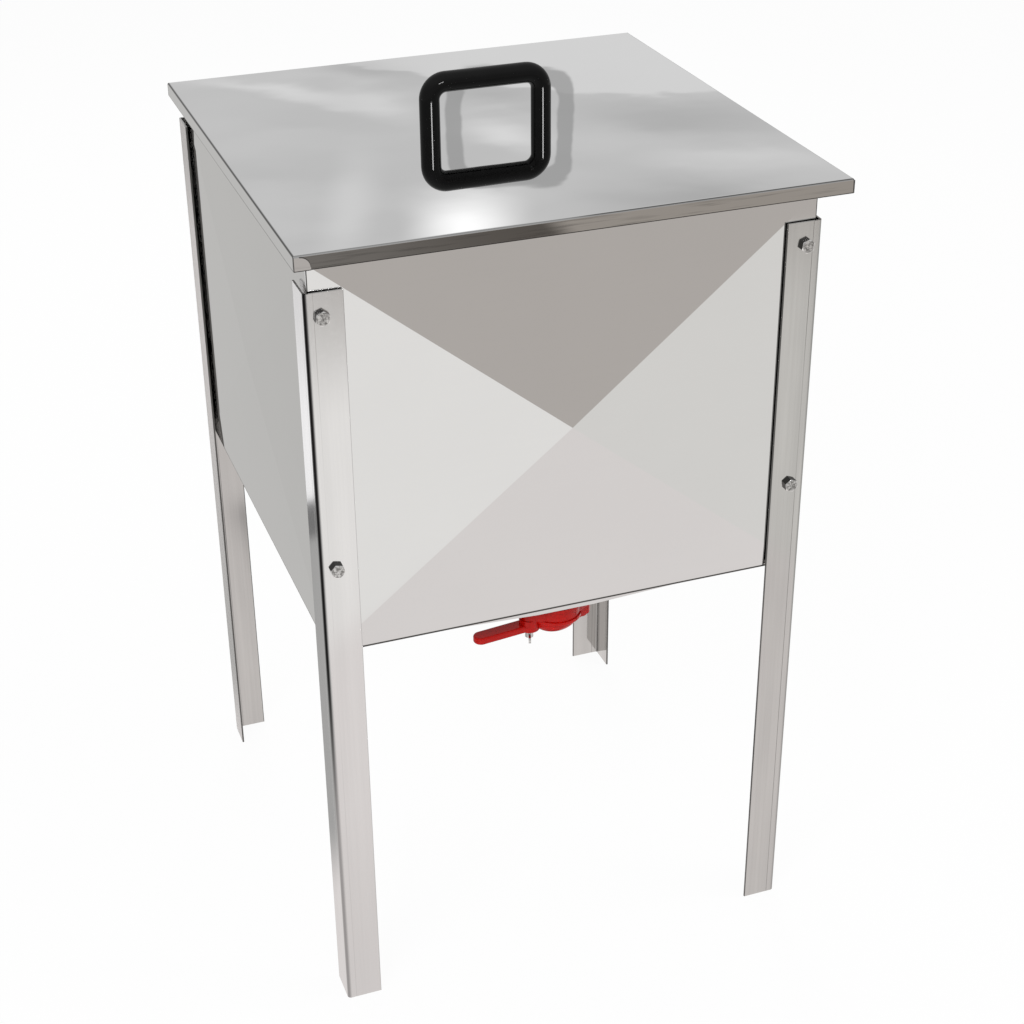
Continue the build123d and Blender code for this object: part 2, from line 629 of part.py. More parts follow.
def gate_blade():
    """The swinging half: a bowl under the outlet, a pivot lobe, a notched catch and a lever."""
    lobe = extrude(eared(seal_inner, [pivot_x]), -BLADE_HEIGHT)
    catch = Pos(-pivot_x, 0) * extrude(Circle(CATCH_DIAMETER / 2), -catch_height)
    blade = gate_bowl() + [lobe, catch, gate_lever()]
    blade -= extrude(gate_notch(), -BOWL_DEPTH)
    blade -= Pos(pivot_x, 0) * extrude(Circle(PIVOT_BOLT / 2 + PIVOT_PLAY), -BOWL_DEPTH)
    return at_gate(Pos(0, 0, -FACE_GAP) * blade)


def gate_pivot_bolt():
    """A low-headed bolt down through the body's ear and the blade."""
    length = PLATE_HEIGHT + FACE_GAP + BLADE_HEIGHT + PIVOT_AXIAL_PLAY + PIVOT_NUT_HEIGHT
    head = extrude(Circle(PIVOT_HEAD / 2), PIVOT_HEAD_HEIGHT)
    head = fillet(head.edges().group_by(Axis.Z)[-1], PIVOT_HEAD_HEIGHT / 2)
    bolt = head + extrude(Circle(PIVOT_BOLT / 2), -length)
    return at_gate(Pos(pivot_x, 0, PLATE_HEIGHT) * bolt)


def gate_pivot_nut():
    """The nut under the blade that keeps it on the pivot bolt."""
    nut = hex_nut(PIVOT_NUT_FLATS, PIVOT_NUT_HEIGHT, PIVOT_BOLT + 2 * THREAD_PLAY)
    return at_gate(Pos(pivot_x, 0, -FACE_GAP - BLADE_HEIGHT - PIVOT_AXIAL_PLAY) * Rot(180, 0, 0) * nut)


def gate_wing_screw():
    """The screw that clamps the blade: shank up into the ear, collar, hub and two wings below."""
    collar_top = -FACE_GAP - catch_height - PIVOT_AXIAL_PLAY
    shank = extrude(Circle(WING_SCREW / 2), PLATE_HEIGHT - WING_TIP_GAP - collar_top)
    collar = extrude(Circle(WING_COLLAR / 2), -WING_COLLAR_HEIGHT)
    hub = extrude(Circle(WING_HUB / 2), -WING_COLLAR_HEIGHT - WING_HUB_HEIGHT)
    low = -WING_COLLAR_HEIGHT - WING_HEIGHT
    root = -WING_COLLAR_HEIGHT - (WING_HUB_HEIGHT + WING_ROOT) / 2
    outline = [(0, root), (0, root + WING_ROOT), (WING_SPAN / 2, low + WING_TIP), (WING_SPAN / 2, low)]
    wing = make_face(Polyline(*outline, close=True))
    wing = fillet(at_vertices(wing, outline[2:]), WING_ROUND)
    wing = extrude(Plane.XZ * wing, WING_SHEET / 2, both=True)
    screw = shank + collar + hub + wing + mirror(wing, about=Plane.YZ)
    return at_gate(Pos(-pivot_x, 0, collar_top) * Rot(0, 0, WING_TURN) * screw)


# Assembly


def lid_pieces():
    """The nodes of the lid by name."""
    washer = ring(HANDLE_WASHER, HANDLE_SCREW + 2 * HANDLE_SCREW_PLAY, HANDLE_WASHER_THICKNESS)
    washer_low = TANK_TOP - HANDLE_WASHER_THICKNESS
    return {
        "lid_pan": lid_pan(),
        "lid_handle": lid_handle(),
        "lid_handle_screws": under_handle(handle_screw(), washer_low),
        "lid_handle_washers": under_handle(washer, washer_low),
    }


def tank_pieces():
    """The nodes under the lid by name, about the tank's own middle."""
    front = front_wall()
    left = side_wall()
    leg = front_left_leg()
    spacer = ring(WASHER_DIAMETER, BOLT_HOLE, leg_gap)
    washer = ring(WASHER_DIAMETER, BOLT_HOLE, WASHER_THICKNESS)
    nut = hex_nut(BOLT_ACROSS_FLATS, NUT_HEIGHT, BOLT_DIAMETER + 2 * THREAD_PLAY)
    return {
        "front_wall": front,
        "back_wall": mirror(front, about=Plane.XZ),
        "left_wall": left,
        "right_wall": mirror(left, about=Plane.YZ),
        "tank_floor": tank_floor(),
        "leg_front_left": leg,
        "leg_front_right": mirror(leg, about=Plane.YZ),
        "leg_back_left": mirror(leg, about=Plane.XZ),
        "leg_back_right": Rot(0, 0, 180) * leg,
        "leg_bolts": leg_hardware(leg_bolt(), 0),
        "leg_spacers": leg_hardware(spacer, LEG_SHEET),
        "leg_washers": leg_hardware(washer, clamped),
        "leg_nuts": leg_hardware(nut, clamped + WASHER_THICKNESS),
        "strainer_rails": strainer_rails(),
        "strainer_frame": strainer_frame(),
        "strainer_floor": strainer_floor(),
        "strainer_bows": strainer_bows(),
        "frame_rest_bar": frame_rest_bar(),
        "frame_rest_saddles": frame_rest_saddles(),
        "frame_rest_spike": frame_rest_spike(),
        "frame_rest_spike_nut": frame_rest_spike_nut(),
        "gate_body": gate_body(),
        "gate_gasket": gate_gasket(),
        "gate_lock_nut": gate_lock_nut(),
        "gate_seal": gate_seal(),
        "gate_blade": gate_blade(),
        "gate_pivot_bolt": gate_pivot_bolt(),
        "gate_pivot_nut": gate_pivot_nut(),
        "gate_wing_screw": gate_wing_screw(),
    }


def beside_lid(piece):
    """A piece that was made about the tank's middle, in its place to the left of the lid's."""
    shift = Pos(-LID_SHIFT, 0, 0)
    if piece.children:
        return Compound(children=[shift * child for child in piece.children])
    return shift * piece


nodes = lid_pieces() | {name: beside_lid(piece) for name, piece in tank_pieces().items()}
os.makedirs("parts", exist_ok=True)
for name, piece in nodes.items():
    export_step(piece, f"parts/{name}.step")
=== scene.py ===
"""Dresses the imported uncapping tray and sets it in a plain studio.

Every length is in metres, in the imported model's own frame: +X to the right, +Y to the back and
+Z up, with the origin on the ground under the middle of the lid.
"""

import json
import logging
import math
from abc import ABC, abstractmethod
from dataclasses import dataclass, field, fields
from enum import Enum
from typing import Any, Callable, ClassVar, Union

import bpy
from mathutils import Matrix, Vector

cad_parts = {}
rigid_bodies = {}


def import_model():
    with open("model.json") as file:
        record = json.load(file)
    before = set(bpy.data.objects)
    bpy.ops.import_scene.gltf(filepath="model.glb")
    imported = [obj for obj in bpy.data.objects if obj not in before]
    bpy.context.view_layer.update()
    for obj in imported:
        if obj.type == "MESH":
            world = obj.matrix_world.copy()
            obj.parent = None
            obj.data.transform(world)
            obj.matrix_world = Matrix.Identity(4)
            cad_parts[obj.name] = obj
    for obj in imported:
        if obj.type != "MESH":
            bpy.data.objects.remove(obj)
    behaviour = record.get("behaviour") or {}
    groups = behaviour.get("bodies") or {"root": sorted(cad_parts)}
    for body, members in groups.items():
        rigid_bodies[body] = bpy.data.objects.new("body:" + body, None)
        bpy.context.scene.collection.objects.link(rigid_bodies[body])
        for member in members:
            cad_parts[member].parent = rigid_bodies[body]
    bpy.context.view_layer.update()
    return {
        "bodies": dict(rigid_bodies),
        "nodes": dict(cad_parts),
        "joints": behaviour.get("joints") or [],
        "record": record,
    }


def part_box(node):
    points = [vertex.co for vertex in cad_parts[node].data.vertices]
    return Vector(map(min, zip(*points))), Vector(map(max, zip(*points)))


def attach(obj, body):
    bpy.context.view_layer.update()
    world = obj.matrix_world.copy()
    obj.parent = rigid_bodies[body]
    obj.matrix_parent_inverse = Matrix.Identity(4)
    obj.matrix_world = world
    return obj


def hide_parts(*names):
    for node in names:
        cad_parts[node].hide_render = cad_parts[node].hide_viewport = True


LOG = logging.getLogger("uncapping_tray")
TANK_MIDDLE = -0.0104
NOISE_SPAN = (0.3, 0.7)  # where soft noise mostly lies
SEAM = 1e-6  # points this near to each other are one
SIDES = (-1.0, 1.0)
SIXTH = math.radians(60.0)  # the angle that a hexagon's side takes up

Colour = tuple[float, float, float]
Point = tuple[float, float, float]
Pair = tuple[float, float]
Operand = Union["Term", float]
Rule = Union[Operand, Callable[["Term", "Term"], Operand]]
Settings = dict[str, Any]
Inputs = dict[Any, Any]
Frame = dict[str, Any]


class Along(Enum):
    """The direction that a sheet's grain runs in, as factors on its coordinates."""

    X = (0.02, 1.0, 1.0)
    Y = (1.0, 0.02, 1.0)
    NONE = (1.0, 1.0, 1.0)


class Ray(Enum):
    """The kinds of ray that the studio answers in its own way."""

    CAMERA = "Is Camera Ray"
    GLOSSY = "Is Glossy Ray"
    TRANSMISSION = "Is Transmission Ray"


class Body(Enum):
    """The bodies that pieces ride on."""

    TANK = "tank"
    STRAINER = "strainer"


class Slot(Enum):
    """The record's material slots, named with new pieces but not used."""

    FASTENER = "fastener_steel"
    INNER = "inner_steel"


class Term:
    """A node's output that adds Math nodes when it stands in an expression."""

    def __init__(self, graph: "Graph", socket: bpy.types.NodeSocket) -> None:
        """Keeps the graph and the socket."""
        self.graph = graph
        self.socket = socket

    def _math(self, operation: str, *operands: Operand) -> "Term":
        """Adds a Math node.

        Args:
            operation: The Math node's operation.
            operands: Its inputs in order.

        Returns:
            The node's result.
        """
        inputs = dict(enumerate(operands))
        return self.graph.term("ShaderNodeMath", {"operation": operation}, inputs)

    def __add__(self, other: Operand) -> "Term":
        """Sum."""
        return self._math("ADD", self, other)

    __radd__ = __add__

    def __sub__(self, other: Operand) -> "Term":
        """Difference."""
        return self._math("SUBTRACT", self, other)

    def __rsub__(self, other: Operand) -> "Term":
        """Difference from a plain number."""
        return self._math("SUBTRACT", other, self)

    def __mul__(self, other: Operand) -> "Term":
        """Product."""
        return self._math("MULTIPLY", self, other)

    __rmul__ = __mul__

    def __truediv__(self, other: Operand) -> "Term":
        """Quotient."""
        return self._math("DIVIDE", self, other)

    def __rtruediv__(self, other: Operand) -> "Term":
        """Quotient of a plain number by this."""
        return self._math("DIVIDE", other, self)

    def __pow__(self, other: Operand) -> "Term":
        """Power."""
        return self._math("POWER", self, other)

    def __mod__(self, other: Operand) -> "Term":
        """Remainder, never below 0."""
        return self._math("FLOORED_MODULO", self, other)

    def __abs__(self) -> "Term":
        """Absolute value."""
        return self._math("ABSOLUTE", self)

    def least(self, other: Operand) -> "Term":
        """The smaller of two values."""
        return self._math("MINIMUM", self, other)

    def most(self, other: Operand) -> "Term":
        """The larger of two values."""
        return self._math("MAXIMUM", self, other)

    def above(self, other: Operand) -> "Term":
        """1 where this is the larger, else 0."""
        return self._math("GREATER_THAN", self, other)

    def whole(self) -> "Term":
        """The nearest whole number."""
        return self._math("ROUND", self)

    def floor(self) -> "Term":
        """The next whole number down."""
        return self._math("FLOOR", self)

    def cosine(self) -> "Term":
        """Cosine of an angle in radians."""
        return self._math("COSINE", self)

    def sine(self) -> "Term":
        """Sine of an angle in radians."""
        return self._math("SINE", self)

    def rise_angle(self) -> "Term":
        """The angle in degrees whose sine this is."""
        return self._math("ARCSINE", self) * math.degrees(1.0)

    def turn_from(self, other: Operand) -> "Term":
        """The angle in degrees from the other's axis to this one's."""
        return self._math("ARCTAN2", self, other) * math.degrees(1.0)

    def rise(self, low: float, high: float) -> "Term":
        """A smooth step.

        Args:
            low: Where the step is still 0.
            high: Where it has reached 1; below low for a falling step.

        Returns:
            The step's value.
        """
        if low > high:
            return 1.0 - self.rise(high, low)
        inputs = {"Value": self, "From Min": low, "From Max": high}
        return self.graph.term("ShaderNodeMapRange", {"interpolation_type": "SMOOTHSTEP"}, inputs)

    def near(self, middle: Operand, width: float) -> "Term":
        """A soft bump of height 1 at a middle value, gone one width away on each side."""
        return abs(self - middle).rise(width, 0.0)

    def plateau(self, middle: float, width: float, edge: float) -> "Term":
        """A soft bump whose top is flat where the plain bump is higher than edge."""
        return self.near(middle, width).rise(0.0, edge)


@dataclass(frozen=True)
class Layer:
    """A layer of soft noise: lumps per metre, finer layers, factors on the place and a shift."""

    scale: float
    detail: float = 2.0
    stretch: Point = (1.0, 1.0, 1.0)
    shift: Point = (0.0, 0.0, 0.0)


class Graph:
    """A node tree that grows by one method."""

    def __init__(self, tree: bpy.types.NodeTree) -> None:
        """Keeps the tree and empties it."""
        self.tree = tree
        tree.nodes.clear()

    def node(
        self, kind: str, settings: Settings | None = None, inputs: Inputs | None = None
    ) -> bpy.types.Node:
        """Adds a node.

        Args:
            kind: The node's type.
            settings: Its properties, set before its sockets.
            inputs: Values or links by socket name or number; a list holds several links.

        Returns:
            The node.
        """
        made = self.tree.nodes.new(kind)
        for key, value in (settings or {}).items():
            setattr(made, key, value)
        for key, given in (inputs or {}).items():
            for value in given if isinstance(given, list) else [given]:
                if isinstance(value, Term):
                    value = value.socket
                if isinstance(value, bpy.types.Node):
                    value = value.outputs[0]
                if isinstance(value, bpy.types.NodeSocket):
                    self.tree.links.new(value, made.inputs[key])
                else:
                    made.inputs[key].default_value = value
        return made

    def term(
        self, kind: str, settings: Settings | None = None, inputs: Inputs | None = None,
        output: int | str = 0,
    ) -> Term:
        """Adds a node and wraps one of its outputs; the other arguments are those of node."""
        return Term(self, self.node(kind, settings, inputs).outputs[output])

    def blend(self, share: Operand, first: Term | Colour, second: Term | Colour) -> Term:
        """A mix of two colours.

        Args:
            share: How much of the second.
            first: A colour or link.
            second: A colour or link.

        Returns:
            The mixed colour.
        """
        colours = [(*c, 1.0) if isinstance(c, tuple) else c for c in (first, second)]
        inputs = {0: share, 6: colours[0], 7: colours[1]}
        return self.term("ShaderNodeMix", {"data_type": "RGBA"}, inputs, 2)

    def noise(self, place: Term, layer: Layer) -> Term:
        """Soft noise.

        Args:
            place: The coordinates that it follows.
            layer: What the noise is like.

        Returns:
            A value round 0.5.
        """
        inputs = {"Vector": place, "Location": layer.shift, "Scale": layer.stretch}
        mapped = self.term("ShaderNodeMapping", None, inputs)
        inputs = {"Vector": mapped, "Scale": layer.scale, "Detail": layer.detail}
        return self.term("ShaderNodeTexNoise", {"noise_dimensions": "3D"}, inputs, "Fac")

    def split(self, place: Term) -> tuple[Term, Term, Term]:
        """The three parts of a vector."""
        parts = self.node("ShaderNodeSeparateXYZ", None, {0: place})
        return tuple(Term(self, socket) for socket in parts.outputs)

    def join(self, x: Operand, y: Operand, z: Operand) -> Term:
        """A vector from its three parts."""
        return self.term("ShaderNodeCombineXYZ", None, {0: x, 1: y, 2: z})

    def bump(self, height: Term) -> Term:
        """A surface normal from a height in metres."""
        inputs = {"Strength": 1.0, "Distance": 1.0, "Height": height}
        return self.term("ShaderNodeBump", None, inputs)


def scaled(colour: Colour, factor: float) -> Colour:
    """A colour made darker by a factor."""
    return tuple(factor * part for part in colour)


def grey(tone: float) -> Colour:
    """A colour without hue."""
    return (tone, tone, tone)


@dataclass(frozen=True)
class Finish(ABC):
    """What a surface is finished in."""

    name: str

    def make(self) -> bpy.types.Material:
        """Builds the material.

        Returns:
            A material of this finish.
        """
        material = bpy.data.materials.new(self.name)
        material.use_nodes = True
        graph = Graph(material.node_tree)
        place = graph.term("ShaderNodeTexCoord", None, None, "Object")
        graph.node("ShaderNodeOutputMaterial", None, {"Surface": self.shade(graph, place)})
        return material

    @abstractmethod
    def shade(self, graph: Graph, place: Term) -> bpy.types.Node:
        """Builds the shader.

        Args:
            graph: The material's graph.
            place: Object coordinates.

        Returns:
            The shader node for the surface.
        """

    @staticmethod
    def metal(graph: Graph, colour: Term, rough: Term, normal: Term) -> bpy.types.Node:
        """A bare metal surface from its colour, roughness and normal."""
        inputs = {"Base Color": colour, "Metallic": 1.0, "Roughness": rough, "Normal": normal}
        return graph.node("ShaderNodeBsdfPrincipled", None, inputs)


@dataclass(frozen=True)
class BrightSheet(Finish):
    """Cold-rolled sheet with a near mirror face and a soft waviness."""

    tint: Colour = (0.72, 0.717, 0.712)
    dim: float = 0.985
    # Dark colour for marks, and for painted dark reflections and painted shade along folds and
    # edges.
    burnt: Colour = (0.05, 0.048, 0.045)
    roughness: float = 0.035
    fold_roughness: float = 0.15
    wave_height: float = 0.0002
    wave_length: float = 0.16
    ripples_to_wave: float = 3.0
    ripple_share: float = 0.1
    shift: Point = (0.0, 0.0, 0.0)
    grain: Along = Along.X
    grain_scale: float = 260.0
    cloud: Layer = Layer(9.0, 3.0)

    def folds(self, graph: Graph, place: Term) -> Operand:
        """How far painted dark reflections and marks darken the sheet along its folds and cut
        edges, from 0 to 1.
        """
        return 0.0

    def lean(self, graph: Graph, place: Term) -> Operand:
        """A height that tilts parts of the sheet."""
        return 0.0

    def shade(self, graph: Graph, place: Term) -> bpy.types.Node:
        """Builds the shader.

        Args:
            graph: The material's graph.
            place: Object coordinates.

        Returns:
            The shader node for the surface.
        """
        waves = 1.0 / self.wave_length
        wave = graph.noise(place, Layer(waves, 1.0, shift=self.shift))
        ripple = graph.noise(place, Layer(self.ripples_to_wave * waves, 1.0, shift=self.shift))
        grain = graph.noise(place, Layer(self.grain_scale, 2.0, self.grain.value))
        cloud = graph.noise(place, self.cloud)
        bright = (0.8 * cloud + 0.2 * grain).rise(*NOISE_SPAN)
        colour = graph.blend(bright, scaled(self.tint, self.dim), self.tint)
        # Dark lines along folds and edges: painted dark reflections, with marks such as rubbing.
        fold = self.folds(graph, place)
        colour = graph.blend(fold, colour, self.burnt)
        rough = self.roughness * (0.85 + 0.25 * cloud + 0.05 * grain) + self.fold_roughness * fold
        height = (wave + self.ripple_share * ripple) * self.wave_height + self.lean(graph, place)
        return self.metal(graph, colour, rough, graph.bump(height))


@dataclass(frozen=True)
class WallSheet(BrightSheet):
    """A wall's sheet with a painted dark reflection along its lower fold and a dark line along the
    tank's upright corners.
    """

    low: float = 0.452
    half_width: float = 0.2565
    half_depth: float = 0.271
    bend: float = 0.002
    line: float = 0.0011
    darkest: float = 0.95

    def folds(self, graph: Graph, place: Term) -> Term:
        """Paints a dark reflection along the lower fold and darkens the upright corners.

        Args:
            graph: The material's graph.
            place: Object coordinates.

        Returns:
            A share from 0 to 1.
        """
        x, y, z = graph.split(place)
        from_side = self.half_width - abs(x - TANK_MIDDLE)
        from_front = self.half_depth - abs(y)
        # Painted dark reflection along the lower fold.
        outside = from_side.least(from_front).rise(4.0 * self.line, 3.0 * self.line)
        lower = outside * z.rise(self.low + 1.6 * self.bend, self.low + 1.3 * self.bend)
        at_side = from_side.rise(self.line, 0.6 * self.line)
        at_front = from_front.rise(1.5 * self.line, self.line)
        return self.darkest * lower.most(at_side * at_front)


@dataclass(frozen=True)
class LidSheet(BrightSheet):
    """The lid's sheet, with painted dark reflections along its folds, its hem and the edges of its
    corner tabs.
    """

    half_width: float = 0.280
    half_depth: float = 0.27975
    top: float = 0.881
    skirt: float = 0.015
    bend: float = 0.002
    tab: Pair = (0.016, 0.013)
    tab_round: float = 0.010
    tab_face: float = 0.2806
    tab_lean: float = 0.021
    line: float = 0.0010
    faded: float = 0.7
    front_fade: Pair = (-0.02, 0.02)
    hem_fade: Pair = (0.10, -0.05)
    tab_share: float = 0.9
    rub: Layer = Layer(420.0, 3.0, (0.04, 1.0, 1.0))
    rub_levels: Pair = (0.5, 0.75)
    rub_share: float = 0.3
    darkest: float = 0.95

    def folds(self, graph: Graph, place: Term) -> Term:
        """Paints dark reflections along folds, hem and tab edges, and rubs the front.

        Args:
            graph: The material's graph.
            place: Object coordinates.

        Returns:
            A share from 0 to 1.
        """
        x, y, z = graph.split(place)
        low, full = self.top - self.skirt, 1.0 - self.faded
        # Painted dark reflections along the top folds, the hem and the tab edges, faded by place;
        # the rub is marks on the skirts.
        high = z.rise(self.top - self.bend, self.top - 0.8 * self.bend)
        side = abs(x).near(self.half_width - 0.3 * self.bend, 1.3 * self.line)
        front = abs(y).near(self.half_depth - 0.3 * self.bend, self.line)
        front = front * (self.faded + full * x.rise(*self.front_fade))
        hem = z.rise(low + self.line, low + 0.6 * self.line)
        hem = hem * (self.faded + full * y.rise(*self.hem_fade))
        in_x = x + self.half_width - self.tab[0] + self.tab_round
        in_z = z - low - self.tab[1] + self.tab_round
        arc = ((in_x * in_x + in_z * in_z) ** 0.5).near(self.tab_round, 0.7 * self.line)
        arc = arc * in_x.above(0.0) * in_z.above(0.0)
        flap = abs(y).rise(self.half_depth - 0.5 * self.bend, self.half_depth)
        corner = abs(x).rise(self.half_width - 1.1 * self.line, self.half_width - 0.5 * self.line)
        corner = corner * (1.0 - high) * flap
        tabs = self.tab_share * (arc * flap).most(corner)
        rubbed = graph.noise(place, self.rub).rise(*self.rub_levels) * flap * (1.0 - high)
        lines = (high * side.most(front)).most(hem).most(tabs)
        return lines.most(self.rub_share * rubbed).least(self.darkest)

    def lean(self, graph: Graph, place: Term) -> Term:
        """Shades the corner tabs as if a little more upright than the skirt."""
        _, y, z = graph.split(place)
        return self.tab_lean * z * abs(y).above(self.tab_face)


@dataclass(frozen=True)
class SatinAngle(Finish):
    """Satin bent angle: grain along the leg, a die line beside the bend, painted shade on the cut
    edges and in the inner corner, and a painted dark reflection along the bend.
    """

    tint: Colour = (0.72, 0.71, 0.70)
    dim: float = 0.86
    worn: Colour = (0.20, 0.19, 0.18)
    # Dark colour for die lines, and for painted shade on the cut edges and in the inner corner.
    burnt: Colour = (0.06, 0.058, 0.055)
    # Near black for the painted dark reflection along the bend.
    black: Colour = (0.004, 0.004, 0.004)
    roughness: float = 0.10
    handled_roughness: float = 0.08
    cut_roughness: float = 0.2
    face: Pair = (0.2617, 0.27524)
    flange: float = 0.038
    die_line: float = 0.0095
    die_width: float = 0.0005
    line_streaks: Pair = (0.3, 0.5)
    line_share: float = 0.15
    cut: float = 0.0007
    cut_share: float = 0.3
    bend: float = 0.005
    bend_share: Pair = (0.5, 0.485)
    bend_levels: Pair = (0.22, 0.45)
    inner_share: float = 0.85
    handled: float = 0.24
    handled_levels: Pair = (0.70, 0.82)
    scuffed: float = 0.10
    scuffed_levels: Pair = (0.30, 0.10)
    out_of_square: float = 0.09
    grain: Layer = Layer(330.0, 3.0, (1.0, 1.0, 0.012))
    streak: Layer = Layer(60.0, 2.0, (1.0, 1.0, 0.05))
    cloud: Layer = Layer(16.0, 3.0, (1.0, 1.0, 0.4))
    spots: Layer = Layer(220.0, 3.0)
    grain_height: float = 0.000003
    cloud_height: float = 0.00004
    line_depth: float = 0.00004

    def shade(self, graph: Graph, place: Term) -> bpy.types.Node:
        """Builds the shader.

        Args:
            graph: The material's graph.
            place: Object coordinates.

        Returns:
            The shader node for the surface.
        """
        x, y, z = graph.split(place)
        from_side = self.face[0] - abs(x - TANK_MIDDLE)
        from_front = self.face[1] - abs(y)
        across = from_side.most(from_front)
        layers = (self.grain, self.streak, self.cloud, self.spots)
        grain, streak, cloud, spots = (graph.noise(place, layer) for layer in layers)
        line = across.near(self.die_line, self.die_width) * streak.rise(*self.line_streaks)
        # Painted shade on the cut edges.
        edge = across.rise(self.flange - self.cut, self.flange - 0.5 * self.cut)
        bright = (0.25 * grain + 0.4 * streak + 0.35 * cloud).rise(*NOISE_SPAN)
        colour = graph.blend(bright, scaled(self.tint, self.dim), self.tint)
        # Darker and mottled towards the top of the leg, and darker towards the foot.
        handled = z.rise(*self.handled_levels) * (0.75 + 0.5 * spots).least(1.0)
        worn = (self.handled * handled).most(self.scuffed * z.rise(*self.scuffed_levels))
        colour = graph.blend(worn, colour, self.worn)
        # Painted shade in the inner corner.
        within = from_side.least(from_front).above(self.bend / 3.0)
        inner = within * across.rise(0.62 * self.bend, 0.48 * self.bend)
        lines = (self.line_share * line).most(self.cut_share * edge).most(self.inner_share * inner)
        colour = graph.blend(lines, colour, self.burnt)
        # Painted dark reflection along the bend, stronger higher up.
        share = self.bend_share[0] + self.bend_share[1] * z.rise(*self.bend_levels)
        bend = share * across.rise(0.95 * self.bend, 0.3 * self.bend)
        colour = graph.blend(bend, colour, self.black)
        rough = self.roughness * (0.6 + 0.45 * cloud + 0.35 * grain)
        rough = rough + self.handled_roughness * handled + self.cut_roughness * edge
        height = self.grain_height * grain + self.cloud_height * cloud - self.line_depth * line
        normal = graph.bump(height - self.out_of_square * abs(y))
        return self.metal(graph, colour, rough, normal)


@dataclass(frozen=True)
class SatinSteel(Finish):
    """Plain satin steel for fasteners and for the pieces inside the tank."""

    tint: Colour = (0.66, 0.655, 0.645)
    dim: float = 0.82
    roughness: float = 0.24
    grain: Along = Along.X
    grain_scale: float = 500.0
    grain_height: float = 0.000004
    cloud: Layer = Layer(25.0, 3.0)

    def shade(self, graph: Graph, place: Term) -> bpy.types.Node:
        """Builds the shader.

        Args:
            graph: The material's graph.
            place: Object coordinates.

        Returns:
            The shader node for the surface.
        """
        grain = graph.noise(place, Layer(self.grain_scale, 2.0, self.grain.value))
        cloud = graph.noise(place, self.cloud)
        bright = (0.5 * grain + 0.5 * cloud).rise(*NOISE_SPAN)
        colour = graph.blend(bright, scaled(self.tint, self.dim), self.tint)
        rough = self.roughness * (0.7 + 0.3 * cloud + 0.3 * grain)
        return self.metal(graph, colour, rough, graph.bump(self.grain_height * grain))


@dataclass(frozen=True)
class BoltSteel(Finish):
    """A bolt head with flats painted near black as their dark reflections, a bright turned edge
    and a dull struck face.
    """

    tint: Colour = (0.80, 0.79, 0.78)
    dull: Colour = (0.17, 0.165, 0.16)
    worn: Colour = (0.62, 0.61, 0.60)
    # Near black, painted on the flats as their dark reflection.
    black: Colour = (0.03, 0.029, 0.028)
    seat: float = 0.27524
    head: float = 0.0053
    line: float = 0.0001
    flat_ends: Pair = (0.90, 0.84)
    flat_share: float = 0.95
    struck_levels: Pair = (0.38, 0.62)
    roughness: float = 0.09
    face_roughness: float = 0.06
    pits: Layer = Layer(700.0, 3.0)
    pit_depth: float = 0.00002
    cloud: Layer = Layer(260.0, 2.0)

    def shade(self, graph: Graph, place: Term) -> bpy.types.Node:
        """Builds the shader.

        Args:
            graph: The material's graph.
            place: Object coordinates.

        Returns:
            The shader node for the surface.
        """
        _, y, _ = graph.split(place)
        above = abs(y) - self.seat
        pits, cloud = graph.noise(place, self.pits), graph.noise(place, self.cloud)
        face = above.rise(self.head - 2.0 * self.line, self.head - self.line)
        flat = above.rise(*(end * self.head for end in self.flat_ends))
        flat = flat * above.rise(-2.0 * self.line, 0.0)
        beaten = (0.5 * pits + 0.5 * cloud).rise(*self.struck_levels)
        colour = graph.blend(face, self.tint, graph.blend(beaten, self.dull, self.worn))
        # The flats are painted near black, standing in for their dark reflections.
        colour = graph.blend(self.flat_share * flat, colour, self.black)
        rough = self.roughness * (0.7 + 0.6 * cloud) + self.face_roughness * face
        return self.metal(graph, colour, rough, graph.bump(self.pit_depth * pits * face))


@dataclass(frozen=True)
class MouldedPlastic(Finish):
    """Glossy moulded plastic with a faint flow pattern."""

    tint: Colour
    deep: Colour
    roughness: float
    level: float
    flow: Layer = Layer(45.0, 3.0)
    skin: Layer = Layer(700.0, 1.0)
    skin_height: float = 0.0000012

    def shade(self, graph: Graph, place: Term) -> bpy.types.Node:
        """Builds the shader.

        Args:
            graph: The material's graph.
            place: Object coordinates.

        Returns:
            The shader node for the surface.
        """
        flow = graph.noise(place, self.flow)
        inputs = {
            "Base Color": graph.blend(flow.rise(*NOISE_SPAN), self.deep, self.tint),
            "Roughness": self.roughness * (0.7 + 0.6 * flow),
            "Normal": graph.bump(self.skin_height * graph.noise(place, self.skin)),
            "Specular IOR Level": self.level,
        }
        return graph.node("ShaderNodeBsdfPrincipled", None, inputs)


@dataclass(frozen=True)
class SoftRubber(Finish):
    """Matt rubber or silicone with a little dust."""

    tint: Colour = (0.03, 0.03, 0.03)
    roughness: float = 0.6
    dust: Layer = Layer(300.0, 3.0)
    dust_levels: Pair = (0.35, 0.75)
    dust_gain: float = 1.15
    dust_tint: float = 0.01

    def shade(self, graph: Graph, place: Term) -> bpy.types.Node:
        """Builds the shader.

        Args:
            graph: The material's graph.
            place: Object coordinates.

        Returns:
            The shader node for the surface.
        """
        dust = graph.noise(place, self.dust)
        dusty = tuple(min(1.0, self.dust_gain * part + self.dust_tint) for part in self.tint)
        colour = graph.blend(dust.rise(*self.dust_levels), self.tint, dusty)
        inputs = {"Base Color": colour, "Roughness": self.roughness * (0.85 + 0.3 * dust)}
        return graph.node("ShaderNodeBsdfPrincipled", None, inputs)


def dress(frame: Frame, material: bpy.types.Material, *names: str) -> None:
    """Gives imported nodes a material.

    Args:
        material: The material.
        names: The nodes.
    """
    for name in names:
        mesh = frame["nodes"][name].data
        mesh.materials.clear()
        mesh.materials.append(material)
        LOG.info("%s is finished in %s", name, material.name)


